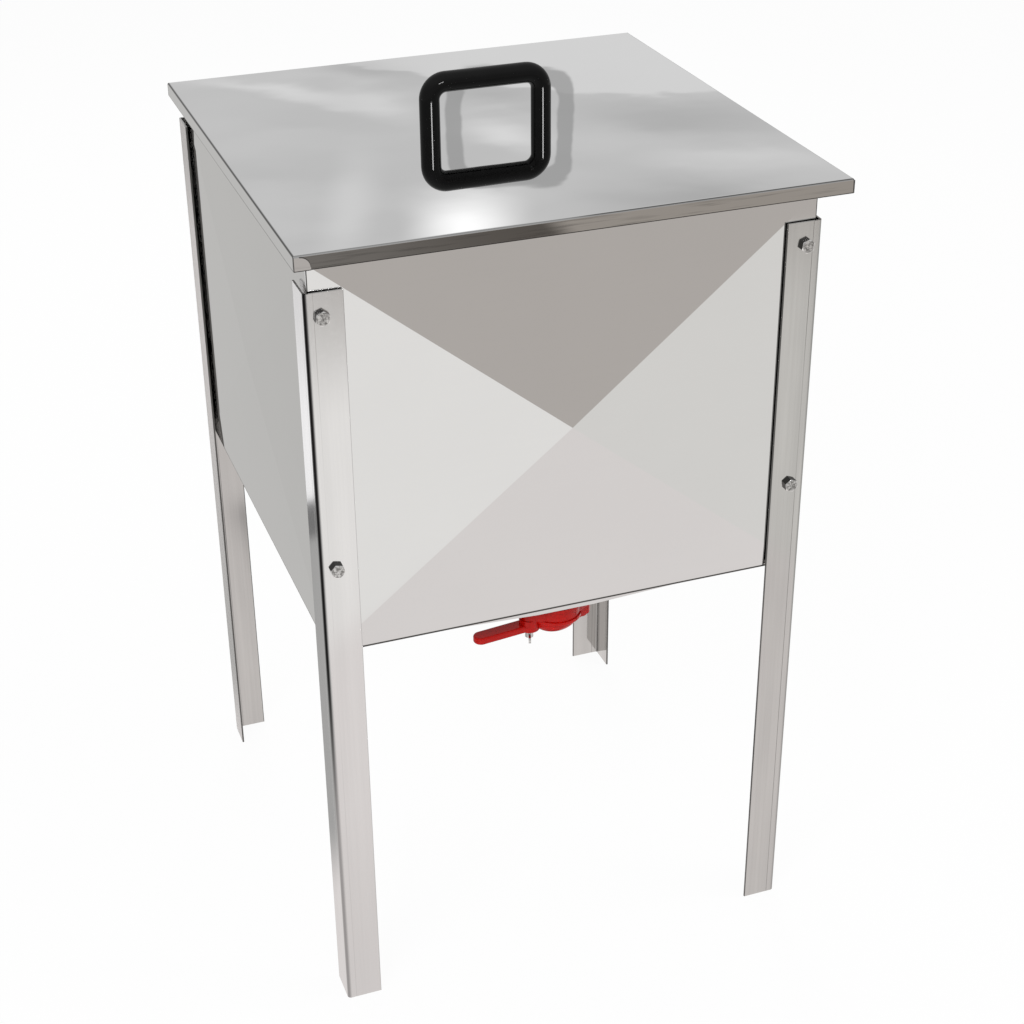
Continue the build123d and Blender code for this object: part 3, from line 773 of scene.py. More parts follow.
class RuledShape(ABC):
    """A shape that follows a rule, grown by Geometry Nodes from its fields as named inputs."""

    def sizes(self) -> dict[str, float]:
        """The shape's lengths and shares by name."""
        return {size.name: getattr(self, size.name) for size in fields(self) if size.type is float}

    @abstractmethod
    def grow(self, graph: Graph, size: dict[str, Term]) -> bpy.types.Node:
        """Adds the nodes that make one copy of the shape.

        Args:
            graph: The tree's graph.
            size: The named inputs.

        Returns:
            The last node, whose first output is the shape.
        """

    def turned(self, graph: Graph) -> Term | Point:
        """How each copy is turned, in radians about X, Y and Z."""
        return (0.0, 0.0, 0.0)

    def make(
        self, name: str, material: bpy.types.Material, spots: list[Point]
    ) -> bpy.types.Object:
        """Makes the copies as one plain mesh.

        Args:
            name: The piece's name.
            material: What it is finished in.
            spots: Where the copies go.

        Returns:
            The piece, at the origin, with its place in its mesh.
        """
        tree = bpy.data.node_groups.new(name, "GeometryNodeTree")
        keys = self._tree(tree, material)
        dots = bpy.data.meshes.new(f"{name}_spots")
        dots.from_pydata(spots, [], [])
        carrier = bpy.data.objects.new(f"{name}_spots", dots)
        bpy.context.scene.collection.objects.link(carrier)
        modifier = carrier.modifiers.new("shape", "NODES")
        modifier.node_group = tree
        for size, value in self.sizes().items():
            modifier[keys[size]] = value
        seen = carrier.evaluated_get(bpy.context.evaluated_depsgraph_get())
        mesh = bpy.data.meshes.new_from_object(seen)
        carrier.modifiers.remove(modifier)
        bpy.data.objects.remove(carrier)
        piece = bpy.data.objects.new(name, mesh)
        bpy.context.scene.collection.objects.link(piece)
        LOG.info("%s has %d faces", name, len(mesh.polygons))
        return piece

    def _tree(self, tree: bpy.types.NodeTree, material: bpy.types.Material) -> dict[str, str]:
        """Fills a node tree that puts a copy of the shape on each point it is given.

        Args:
            tree: The empty tree.
            material: What the copies are finished in.

        Returns:
            Each size's socket identifier.
        """
        graph = Graph(tree)
        for way in ("INPUT", "OUTPUT"):
            tree.interface.new_socket("Geometry", in_out=way, socket_type="NodeSocketGeometry")
        labels = {name: name.replace("_", " ").title() for name in self.sizes()}
        keys = {}
        for name, label in labels.items():
            made = tree.interface.new_socket(label, in_out="INPUT", socket_type="NodeSocketFloat")
            keys[name] = made.identifier
        given = graph.node("NodeGroupInput")
        size = {name: Term(graph, given.outputs[label]) for name, label in labels.items()}
        inputs = {
            "Points": given.outputs["Geometry"],
            "Instance": self.grow(graph, size),
            "Rotation": self.turned(graph),
        }
        copies = graph.node("GeometryNodeInstanceOnPoints", None, inputs)
        solid = graph.node("GeometryNodeRealizeInstances", None, {"Geometry": copies})
        inputs = {"Geometry": solid, "Material": material}
        dressed = graph.node("GeometryNodeSetMaterial", None, inputs)
        graph.node("NodeGroupOutput", None, {"Geometry": dressed})
        return keys

    @staticmethod
    def lattice(
        graph: Graph, columns: Operand, rows: Operand
    ) -> tuple[bpy.types.Node, Term, Term]:
        """A flat grid one unit apart.

        Args:
            graph: The tree's graph.
            columns: Points along X.
            rows: Points along Y.

        Returns:
            The grid's node, and the column and row number at each point.
        """
        sides = {0: columns - 1.0, 1: rows - 1.0, 2: columns, 3: rows}
        grid = graph.node("GeometryNodeMeshGrid", None, sides)
        x, y, _ = graph.split(graph.term("GeometryNodeInputPosition"))
        return grid, x + (columns - 1.0) / 2.0, y + (rows - 1.0) / 2.0

    @staticmethod
    def closed(graph: Graph, shape: bpy.types.Node) -> bpy.types.Node:
        """Joins points that lie on each other."""
        inputs = {"Geometry": shape, "Distance": SEAM}
        return graph.node("GeometryNodeMergeByDistance", None, inputs)


@dataclass(frozen=True)
class Band:
    """Rows of points round an axis.

    A radius or height is one value, or a rule from an angle and a share along the rows.
    """

    radius: Rule
    height: Rule
    rows: int = 1

    @staticmethod
    def at(rule: Rule, angle: Term, along: Term) -> Operand:
        """A rule's value at an angle and a share along the rows."""
        return rule(angle, along) if callable(rule) else rule


class Turned(RuledShape):
    """A shape round the Z axis, made of bands from its upper end to its lower one."""

    segments: ClassVar[int] = 48
    crease: ClassVar[float] = math.radians(24.0)

    def revolve(self, graph: Graph, bands: list[Band]) -> bpy.types.Node:
        """Closes the bands into a skin that faces outwards.

        Args:
            graph: The tree's graph.
            bands: The bands in order.

        Returns:
            The last node.
        """
        count = sum(band.rows for band in bands)
        grid, column, row = self.lattice(graph, self.segments + 1, count)
        angle = column * (2.0 * math.pi / self.segments)
        radius: Operand = 0.0
        height: Operand = 0.0
        first = 0
        for band in bands:
            along = (row - float(first)) / max(band.rows - 1, 1)
            inside = row.above(first - 0.5) * (1.0 - row.above(first + band.rows - 0.5))
            radius = radius + inside * band.at(band.radius, angle, along)
            height = height + inside * band.at(band.height, angle, along)
            first += band.rows
        place = graph.join(radius * angle.cosine(), radius * angle.sine(), height)
        shaped = graph.node("GeometryNodeSetPosition", None, {"Geometry": grid, "Position": place})
        inputs = {"Geometry": self.closed(graph, shaped)}
        smooth = graph.node("GeometryNodeSetShadeSmooth", {"domain": "FACE"}, inputs)
        sharp = graph.term("GeometryNodeInputMeshEdgeAngle").above(self.crease)
        inputs = {"Geometry": smooth, "Selection": sharp, "Shade Smooth": False}
        creased = graph.node("GeometryNodeSetShadeSmooth", {"domain": "EDGE"}, inputs)
        return graph.node("GeometryNodeFlipFaces", None, {"Mesh": creased})

    @staticmethod
    def hexagon(flats: Term, angle: Term) -> Term:
        """How far a hexagon's side lies from the axis at an angle."""
        return 0.5 * flats / ((angle + SIXTH / 2.0) % SIXTH - SIXTH / 2.0).cosine()

    def turned_off(self, flats: Term, face: Term, angle: Term) -> Term:
        """How far the 30 degree chamfer has fallen from a round face to a hexagon's side."""
        return (self.hexagon(flats, angle) - face) * math.tan(math.radians(30.0))

    @staticmethod
    def facing(graph: Graph, outwards: bool, seed: int) -> Term:
        """Turns the Z axis along the leg bolts.

        Args:
            graph: The tree's graph.
            outwards: True if Z points away from the tank.
            seed: For the chance turn of each copy about its own axis.

        Returns:
            The turn in radians about X, Y and Z.
        """
        _, y, _ = graph.split(graph.term("GeometryNodeInputPosition"))
        tilt = (0.5 - y.above(0.0)) * (math.pi if outwards else -math.pi)
        chance = {2: 0.0, 3: SIXTH, 8: seed}
        spin = graph.term("FunctionNodeRandomValue", {"data_type": "FLOAT"}, chance, 1)
        return graph.join(tilt, spin, 0.0)


@dataclass
class LegBolt(Turned):
    """A hexagon bolt, head up, with its thread cut at the free end."""

    across_flats: float = 0.013
    head_height: float = 0.0053
    diameter: float = 0.008
    length: float = 0.01684
    pitch: float = 0.00125
    threaded_length: float = 0.0036
    thread_depth: float = 0.00045
    face_share: float = 0.95
    thread_rows: int = 26
    seed: int = 4

    def grow(self, graph: Graph, size: dict[str, Term]) -> bpy.types.Node:
        """Adds the nodes that make one bolt.

        Args:
            graph: The tree's graph.
            size: The named inputs.

        Returns:
            The last node, whose first output is the bolt.
        """
        flats, head, length = size["across_flats"], size["head_height"], size["length"]
        shank, depth = 0.5 * size["diameter"], size["thread_depth"]
        face = 0.5 * size["face_share"] * flats

        def side(angle: Term, along: Term) -> Term:
            """Radius of the head's sides."""
            return self.hexagon(flats, angle)

        def shoulder(angle: Term, along: Term) -> Term:
            """Height of the head's sides."""
            return head - self.turned_off(flats, face, angle)

        def down(angle: Term, along: Term) -> Term:
            """Height along the thread."""
            return size["threaded_length"] * (1.0 - along) - length

        def thread(angle: Term, along: Term) -> Term:
            """Radius along the thread, which ends in a chamfer.

            Args:
                angle: The angle round the axis.
                along: The share of the thread's length.

            Returns:
                The radius.
            """
            level = down(angle, along)
            phase = (level / size["pitch"] - angle / (2.0 * math.pi)) % 1.0
            chamfer = shank - 1.5 * depth + level + length
            return (shank - depth * abs(2.0 * phase - 1.0)).least(chamfer)

        return self.revolve(graph, [
            Band(0.0, head), Band(face, head), Band(side, shoulder), Band(side, 0.0),
            Band(shank, 0.0), Band(thread, down, self.thread_rows), Band(0.0, -1.0 * length),
        ])

    def turned(self, graph: Graph) -> Term:
        """The heads point away from the tank."""
        return self.facing(graph, True, self.seed)


@dataclass
class LegNut(Turned):
    """A hexagon nut that is turned off on both faces."""

    across_flats: float = 0.013
    height: float = 0.0065
    bore: float = 0.0082
    face_share: float = 0.95
    seed: int = 9

    def grow(self, graph: Graph, size: dict[str, Term]) -> bpy.types.Node:
        """Adds the nodes that make one nut.

        Args:
            graph: The tree's graph.
            size: The named inputs.

        Returns:
            The last node, whose first output is the nut.
        """
        flats, height, bore = size["across_flats"], size["height"], 0.5 * size["bore"]
        face = 0.5 * size["face_share"] * flats

        def side(angle: Term, along: Term) -> Term:
            """Radius of the sides."""
            return self.hexagon(flats, angle)

        def upper(angle: Term, along: Term) -> Term:
            """Upper end of the sides."""
            return height - self.turned_off(flats, face, angle)

        def lower(angle: Term, along: Term) -> Term:
            """Lower end of the sides."""
            return self.turned_off(flats, face, angle)

        return self.revolve(graph, [
            Band(bore, height), Band(face, height), Band(side, upper), Band(side, lower),
            Band(face, 0.0), Band(bore, 0.0), Band(bore, height),
        ])

    def turned(self, graph: Graph) -> Term:
        """The nuts stand into the tank."""
        return self.facing(graph, False, self.seed)


@dataclass
class WeldBead(Turned):
    """A short upright weld bead with the ripples of its passes."""

    segments: ClassVar[int] = 12
    crease: ClassVar[float] = math.radians(60.0)
    length: float = 0.012
    radius: float = 0.0017
    ripple: float = 0.00022
    pitch: float = 0.0016
    fullness: float = 0.3
    rows: int = 40

    def grow(self, graph: Graph, size: dict[str, Term]) -> bpy.types.Node:
        """Adds the nodes that make one bead.

        Args:
            graph: The tree's graph.
            size: The named inputs.

        Returns:
            The last node, whose first output is the bead.
        """
        length = size["length"]

        def level(angle: Term, along: Term) -> Term:
            """Height along the bead."""
            return length * (1.0 - along)

        def swell(angle: Term, along: Term) -> Term:
            """Radius along the bead, which fades out at both ends.

            Args:
                angle: The angle round the axis.
                along: The share of the bead's length.

            Returns:
                The radius.
            """
            wave = abs((level(angle, along) * math.pi / size["pitch"]).sine())
            full = (along * (1.0 - along) * 4.0) ** size["fullness"]
            return full * (size["radius"] - size["ripple"] * (1.0 - wave))

        return self.revolve(graph, [
            Band(0.0, length), Band(swell, level, self.rows), Band(0.0, 0.0),
        ])


@dataclass
class PerforatedSheet(RuledShape):
    """A flat sheet with rows of round holes and a plain border."""

    width: float
    depth: float
    thickness: float
    corner: float = 0.006
    border: float = 0.014
    pitch: float = 0.01
    hole: float = 0.006

    def grow(self, graph: Graph, size: dict[str, Term]) -> bpy.types.Node:
        """Adds the nodes that make the sheet.

        Each hole has a cell of four by four squares, whose middle four are taken out and whose
        remaining inner points move onto the hole's edge.

        Args:
            graph: The tree's graph.
            size: The named inputs.

        Returns:
            The last node, whose first output is the sheet.
        """
        pitch, border = size["pitch"], size["border"]
        spans = [size["width"], size["depth"]]
        cells = [((span - 2.0 * border) / pitch).floor() for span in spans]
        grid, *lines = self.lattice(graph, *(4.0 * count + 1.0 for count in cells))
        middles = [1.0 - abs(line % 4.0 - 2.0).above(1.0) for line in lines]
        inputs = {"Geometry": grid, "Selection": middles[0] * middles[1]}
        opened = graph.node("GeometryNodeDeleteGeometry", {"domain": "FACE"}, inputs)
        lines = [line.whole() for line in lines]
        steps = [line % 4.0 for line in lines]
        offsets = [step - 2.0 for step in steps]
        reach = ((offsets[0] * offsets[0] + offsets[1] * offsets[1]) ** 0.5).most(1.0)
        on_edge = steps[0].above(0.5) * steps[1].above(0.5)
        lows = [1.0 - line.above(0.5) for line in lines]
        highs = [line.above(4.0 * count - 0.5) for line, count in zip(lines, cells)]
        at_corner = (lows[0] + highs[0]) * (lows[1] + highs[1])
        pull = at_corner * size["corner"] * (1.0 - math.sqrt(0.5))
        place = []
        for axis, span in enumerate(spans):
            plain = (0.25 * lines[axis] - 0.5 * cells[axis]) * pitch
            middle = plain - 0.25 * pitch * offsets[axis]
            rim = middle + 0.5 * size["hole"] * offsets[axis] / reach
            spread = 0.5 * (span - pitch * cells[axis]) - pull
            place.append(plain + on_edge * (rim - plain) + (highs[axis] - lows[axis]) * spread)
        inputs = {"Geometry": opened, "Position": graph.join(*place, 0.0)}
        under = graph.node("GeometryNodeSetPosition", None, inputs)
        lift = graph.join(0.0, 0.0, size["thickness"])
        inputs = {"Mesh": under, "Offset": lift, "Individual": False}
        over = graph.node("GeometryNodeExtrudeMesh", {"mode": "FACES"}, inputs)
        flipped = graph.node("GeometryNodeFlipFaces", None, {"Mesh": under})
        both = graph.node("GeometryNodeJoinGeometry", None, {0: [over, flipped]})
        return self.closed(graph, both)


def carry(piece: bpy.types.Object, body: Body, slot: Slot, *nodes: str) -> None:
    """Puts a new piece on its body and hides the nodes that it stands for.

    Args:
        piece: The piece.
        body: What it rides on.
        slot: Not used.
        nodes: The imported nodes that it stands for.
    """
    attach(piece, body.value)
    if nodes:
        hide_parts(*nodes)
    LOG.info("%s rides on the %s", piece.name, body.value)


@dataclass
class Tank:
    """The walls and the floor."""

    wall: WallSheet = WallSheet("wall_sheet")
    floor: BrightSheet = BrightSheet("floor_sheet", grain=Along.Y)

    def build(self, frame: Frame) -> None:
        """Dresses the tank's nodes."""
        dress(frame, self.wall.make(), "front_wall", "back_wall", "left_wall", "right_wall")
        dress(frame, self.floor.make(), "tank_floor")


@dataclass
class Legs:
    """The four legs with their bolts."""

    bolt_x: float = 0.2452
    bolt_levels: Pair = (0.551, 0.817)
    face_y: float = 0.27524
    nut_depth: float = 0.00784
    # The front left leg is painted lighter and the other legs darker: lit and shaded copies of one
    # satin, standing in for the light and reflections each shows.
    bright: SatinAngle = SatinAngle("leg_satin_painted_lighter", tint=(0.76, 0.75, 0.745), dim=0.92)
    plain: SatinAngle = SatinAngle(
        "leg_satin", tint=(0.61, 0.60, 0.585), dim=0.84, line_share=0.7, cut=0.0011,
        cut_share=0.85, bend_share=(0.5, 0.0), handled=0.0, scuffed=0.0)
    head: BoltSteel = BoltSteel("bolt_head_steel")
    fastener: SatinSteel = SatinSteel(
        "nut_steel", tint=(0.70, 0.69, 0.68), roughness=0.10, grain=Along.NONE)
    spacer: SoftRubber = SoftRubber("spacer_rubber")

    def spots(self, depth: float) -> list[Point]:
        """Places along the eight leg bolts.

        Args:
            depth: How far under the legs' outer faces.

        Returns:
            The places.
        """
        y = self.face_y - depth
        return [
            (TANK_MIDDLE + side * self.bolt_x, end * y, level)
            for end in SIDES for side in SIDES for level in self.bolt_levels
        ]

    def build(self, frame: Frame) -> None:
        """Makes the bolts and nuts, and dresses the legs' nodes.
        """
        dress(frame, self.bright.make(), "leg_front_left")
        dress(frame, self.plain.make(), "leg_front_right", "leg_back_left", "leg_back_right")
        fastener = self.fastener.make()
        dress(frame, fastener, "leg_washers")
        dress(frame, self.spacer.make(), "leg_spacers")
        bolts = LegBolt().make("threaded_leg_bolts", self.head.make(), self.spots(0.0))
        carry(bolts, Body.TANK, Slot.FASTENER, "leg_bolts")
        nuts = LegNut().make("turned_leg_nuts", fastener, self.spots(self.nut_depth))
        carry(nuts, Body.TANK, Slot.FASTENER, "leg_nuts")


@dataclass
class Lid:
    """The lid pan with its handle."""

    sheet: LidSheet = LidSheet(
        "lid_sheet", tint=(0.73, 0.73, 0.73), roughness=0.012, wave_length=0.12,
        shift=(0.3, 0.1, 0.0))
    handle: MouldedPlastic = MouldedPlastic(
        "handle_plastic", tint=(0.003, 0.003, 0.003), deep=(0.002, 0.002, 0.002),
        roughness=0.05, level=0.15)
    screw: SatinSteel = SatinSteel("handle_screw_steel", roughness=0.18, grain=Along.NONE)

    def build(self, frame: Frame) -> None:
        """Dresses the lid's nodes.
        """
        dress(frame, self.sheet.make(), "lid_pan")
        dress(frame, self.handle.make(), "lid_handle")
        dress(frame, self.screw.make(), "lid_handle_screws", "lid_handle_washers")


@dataclass
class Strainer:
    """The strainer, its rails and the frame rest."""

    bow_x: float = 0.2365
    bow_y: float = 0.05
    wire: float = 0.006
    side_top: float = 0.606
    bead_drop: float = 0.0125
    bead_shares: Pair = (0.4, 0.45)
    steel: SatinSteel = SatinSteel("inner_satin")

    def bead_spots(self) -> list[Point]:
        """The lower ends of the weld beads, in the corners between bows and strainer sides.

        Returns:
            The places.
        """
        x, y = (share * self.wire for share in self.bead_shares)
        low = self.side_top - self.bead_drop
        return [
            (TANK_MIDDLE + side * (self.bow_x + x), end * self.bow_y + flank * y, low)
            for side in SIDES for end in SIDES for flank in SIDES
        ]

    def build(self, frame: Frame) -> None:
        """Makes the perforated floor and the weld beads, and dresses the nodes in the tank.
        """
        steel = self.steel.make()
        dress(frame, steel, "strainer_rails", "strainer_frame", "strainer_bows", "frame_rest_bar")
        dress(frame, steel, "frame_rest_saddles", "frame_rest_spike", "frame_rest_spike_nut")
        low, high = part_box("strainer_floor")
        middle = (low + high) / 2.0
        sheet = PerforatedSheet(*(high - low))
        floor = sheet.make("perforated_floor", steel, [(middle.x, middle.y, low.z)])
        carry(floor, Body.STRAINER, Slot.INNER, "strainer_floor")
        beads = WeldBead().make("bow_weld_beads", steel, self.bead_spots())
        carry(beads, Body.STRAINER, Slot.INNER)


@dataclass
class HoneyGate:
    """The gate under the outlet."""

    red: MouldedPlastic = MouldedPlastic(
        "gate_red_plastic", tint=(0.50, 0.006, 0.004), deep=(0.42, 0.005, 0.003),
        roughness=0.06, level=0.2)
    steel: SatinSteel = SatinSteel("gate_screw_steel", roughness=0.12, grain=Along.NONE)
    gasket: SoftRubber = SoftRubber("gasket_rubber")
    seal: SoftRubber = SoftRubber("seal_silicone", tint=(0.8, 0.79, 0.75), roughness=0.45)

    def build(self, frame: Frame) -> None:
        """Dresses the gate's nodes.
        """
        red = self.red.make()
        dress(frame, red, "gate_body", "gate_blade", "gate_lock_nut")
        dress(frame, red, "gate_pivot_bolt", "gate_pivot_nut")
        dress(frame, self.steel.make(), "gate_wing_screw")
        dress(frame, self.gasket.make(), "gate_gasket")
        dress(frame, self.seal.make(), "gate_seal")


@dataclass(frozen=True)
class Edge:
    """A soft straight edge on the floor: where a sum of x and y begins to count, and is full."""

    across: Pair
    begins: float
    full: float

    def share(self, x: Term, y: Term) -> Term:
        """0 on one side of the edge, 1 on the other."""
        return (self.across[0] * x + self.across[1] * y).rise(self.begins, self.full)


def past_x(begins: float, full: float) -> Edge:
    """An edge that runs from front to back."""
    return Edge((1.0, 0.0), begins, full)


def past_y(begins: float, full: float) -> Edge:
    """An edge that runs from left to right."""
    return Edge((0.0, 1.0), begins, full)


@dataclass(frozen=True)
class Strip:
    """A soft strip on the floor that runs from left to right."""

    middle: float
    width: float
    edge: float

    def share(self, x: Term, y: Term) -> Term:
        """1 along the middle of the strip, 0 beside it."""
        return y.plateau(self.middle, self.width, self.edge)


@dataclass(frozen=True)
class Zone:
    """A part of the floor within its bounds, in a tone that has its own zones laid over it."""

    tone: Colour
    bounds: tuple[Edge | Strip, ...] = ()
    zones: tuple["Zone", ...] = ()
    most: float = 1.0

    def share(self, x: Term, y: Term) -> Term:
        """How far the zone covers a place, from 0 to its most."""
        return math.prod((bound.share(x, y) for bound in self.bounds), start=self.most)

    def colour(self, graph: Graph, x: Term, y: Term) -> Term | Colour:
        """What bright steel sees in the zone.

        Args:
            graph: The floor's graph.
            x: How far to the right.
            y: How far to the back.

        Returns:
            A colour or link.
        """
        colour: Term | Colour = self.tone
        for zone in self.zones:
            colour = graph.blend(zone.share(x, y), colour, zone.colour(graph, x, y))
        return colour


@dataclass(frozen=True)
class FloorPlan:
    """Where the floor is lit, bare or in shade, as bright steel sees it."""

    paper: Colour = (1.0, 0.99, 0.975)
    bare: Colour = (0.563, 0.529, 0.503)
    half_lit: Colour = (0.585, 0.58, 0.568)
    beside: tuple[Edge, ...] = (Edge((1.0, 0.355), -0.326, -0.376), past_y(1.9, 1.7))
    under: tuple[Edge | Strip, ...] = (
        past_x(TANK_MIDDLE - 0.16, TANK_MIDDLE - 0.08),
        past_x(TANK_MIDDLE + 0.16, TANK_MIDDLE + 0.08), Strip(-0.15, 0.25, 0.4))

    def whole(self) -> Zone:
        """Lays the zones over the lit paper, from the first to the last.

        Returns:
            The whole floor.
        """
        return Zone(self.paper, zones=(
            # Less light near the tank and to its right.
            Zone((0.90, 0.865, 0.855), (Edge((0.84, 1.0), -1.10, -1.02),)),
            Zone((0.868, 0.858, 0.838), (Edge((1.0, -0.3), 0.89, 0.95),)),
            # The bare floor past the end of the paper.
            Zone(self.bare, (
                Edge((1.0, -0.293), 0.9088, 0.9688), Edge((1.0, 0.9375), -0.873125, -0.933125))),
            Zone(self.bare, (past_x(1.345, 1.375), past_y(-2.17, -2.20))),
            # A dark patch far in front, which the lid's skirt shows.
            Zone(
                (0.20, 0.185, 0.17),
                (past_x(0.18, 0.30), past_x(2.25, 2.05), Strip(-3.15, 0.32, 0.4)),
                (Zone((0.12, 0.107, 0.095), (past_x(0.4, 1.0),)),
                 Zone((0.39, 0.355, 0.32), (past_x(1.02, 1.10),)))),
            # The half-lit paper behind and to the left.
            Zone(self.half_lit, (past_y(0.25, 0.45), Edge((1.0, 0.1), -0.14, -0.26))),
            Zone(self.half_lit, (past_x(-0.5, -0.75), past_y(0.4, 0.0))),
            # Shade, a dark line and light beside the back left leg.
            Zone((0.45, 0.45, 0.445), (*self.beside, past_y(-0.12, 0.02))),
            Zone((0.2, 0.2, 0.2), (*self.beside, past_y(0.66, 0.69))),
            Zone((1.1, 1.1, 1.11), (*self.beside, past_y(0.77, 0.80))),
            # The tank's own shade.
            Zone((0.08, 0.08, 0.08), self.under, most=0.85),
        ))


@dataclass(frozen=True)
class Patch:
    """A soft slanting light or shade on the wall behind the tank, in degrees."""

    turn: float
    height: float
    slant: float
    reach: float
    rise: float
    tone: float
    most: float = 0.8

    def share(self, turn: Term, height: Term) -> Term:
        """How far the patch covers the wall.

        Args:
            turn: Degrees to the right of straight behind.
            height: Degrees above the floor.

        Returns:
            A share from 0 to its most.
        """
        across, up = turn - self.turn, height - self.height
        cosine, sine = math.cos(math.radians(self.slant)), math.sin(math.radians(self.slant))
        along = (across * cosine + up * sine).near(0.0, self.reach)
        return self.most * along * (up * cosine - across * sine).near(0.0, self.rise)


@dataclass(frozen=True)
class Screen:
    """A pale screen on the wall behind the tank, whose top bows down to its sides, in degrees."""

    turn: float = 23.6
    top: float = 17.15
    bow: float = 0.014
    right_bow: float = 0.03
    top_edge: Pair = (-0.03, 0.06)
    left_edge: Pair = (12.0, 19.0)
    tone: float = 0.82

    def share(self, turn: Term, height: Term) -> Term:
        """How far the screen covers the wall.

        Args:
            turn: Degrees to the right of straight behind.
            height: Degrees above the floor.

        Returns:
            A share from 0 to 1.
        """
        across = turn - self.turn
        right = across.most(0.0)
        under = self.top - self.bow * (across * across) - self.right_bow * (right * right) - height
        return under.rise(*self.top_edge) * turn.rise(*self.left_edge)


@dataclass(frozen=True)
class PaintedHandleShadow:
    """A dark frame with round corners in the air behind the tank, in degrees: a painted shadow of
    the handle, which the lid mirrors.
    """

    turn: float = 19.85
    height: float = 18.03
    half_width: float = 1.69
    half_height: float = 1.50
    squareness: float = 6.0
    thickness: float = 0.22
    edge: Pair = (0.1, 0.45)
    tone: float = 0.38
    most: float = 0.75

    def share(self, turn: Term, height: Term) -> Term:
        """How far the frame covers the wall.

        Args:
            turn: Degrees to the right of straight behind.
            height: Degrees above the floor.

        Returns:
            A share from 0 to its most.
        """
        across = abs((turn - self.turn) / self.half_width) ** self.squareness
        up = abs((height - self.height) / self.half_height) ** self.squareness
        reach = (across + up) ** (1.0 / self.squareness)
        return self.most * reach.near(1.0, self.thickness).rise(*self.edge)


@dataclass(frozen=True)
class Panel:
    """A rectangle in the air with soft edges, in degrees."""

    turn: float
    height: float
    reach: float
    rise: float
    edge: float

    def share(self, turn: Term, height: Term) -> Term:
        """1 on the panel, 0 beside it."""
        across = turn.plateau(self.turn, self.reach, self.edge)
        return across * height.plateau(self.height, self.rise, self.edge)


@dataclass(frozen=True)
class Room:
    """What bright steel sees above the floor."""

    low: float = 0.55
    high: float = 0.85
    levels: Pair = (10.0, 60.0)
    wall: Panel = Panel(20.0, 18.0, 24.0, 9.0, 0.3)
    wall_tones: Pair = (0.655, 0.715)
    streaks: Layer = Layer(1.4)
    streak_stretch: Pair = (0.08, 0.4)
    streak_levels: Pair = (0.35, 0.65)
    lamp: Panel = Panel(4.0, 18.0, 6.5, 2.0, 0.2)
    lamp_tone: float = 60.0
    marks: tuple[Patch | Screen | PaintedHandleShadow, ...] = (
        Patch(13.0, 16.80, 9.6, 4.2, 0.35, 0.88),
        Patch(15.6, 16.30, 8.0, 2.6, 0.40, 0.55),
        Patch(15.9, 17.25, 15.0, 1.9, 0.60, 0.84),
        Patch(14.8, 20.30, 112.0, 2.4, 1.10, 0.82),
        Patch(19.4, 17.10, 5.0, 2.2, 0.55, 0.56),
        Patch(19.7, 18.20, 10.0, 1.9, 0.60, 0.92),
        Patch(25.0, 17.75, 2.0, 5.5, 0.75, 0.54),
        Patch(27.0, 18.75, -3.0, 5.0, 0.45, 0.80),
        Patch(26.0, 20.00, -2.0, 6.5, 0.90, 0.50),
        Patch(18.5, 20.90, 0.0, 2.3, 1.70, 1.35, 1.0),
        Screen(),
        # A painted shadow of the handle, which the lid mirrors.
        PaintedHandleShadow(),
    )

    def tone(self, graph: Graph, place: Term) -> Term:
        """The room's colour.

        Args:
            graph: The world's graph.
            place: The direction looked in.

        Returns:
            The colour.
        """
        x, y, z = graph.split(place)
        height = z.rise_angle()
        behind = x.turn_from(y)
        before = x.turn_from(-1.0 * y)
        tone = graph.blend(height.rise(*self.levels), grey(self.low), grey(self.high))
        # The wall behind the tank, as the lid shows it.
        along, up = self.streak_stretch
        streaks = graph.noise(graph.join(along * behind, up * height, 0.0), self.streaks)
        wall = graph.blend(streaks.rise(*self.streak_levels), *map(grey, self.wall_tones))
        for mark in self.marks:
            wall = graph.blend(mark.share(behind, height), wall, grey(mark.tone))
        tone = graph.blend(self.wall.share(behind, height), tone, wall)
        # A low strip lamp behind the camera.
        return graph.blend(self.lamp.share(before, height), tone, grey(self.lamp_tone))


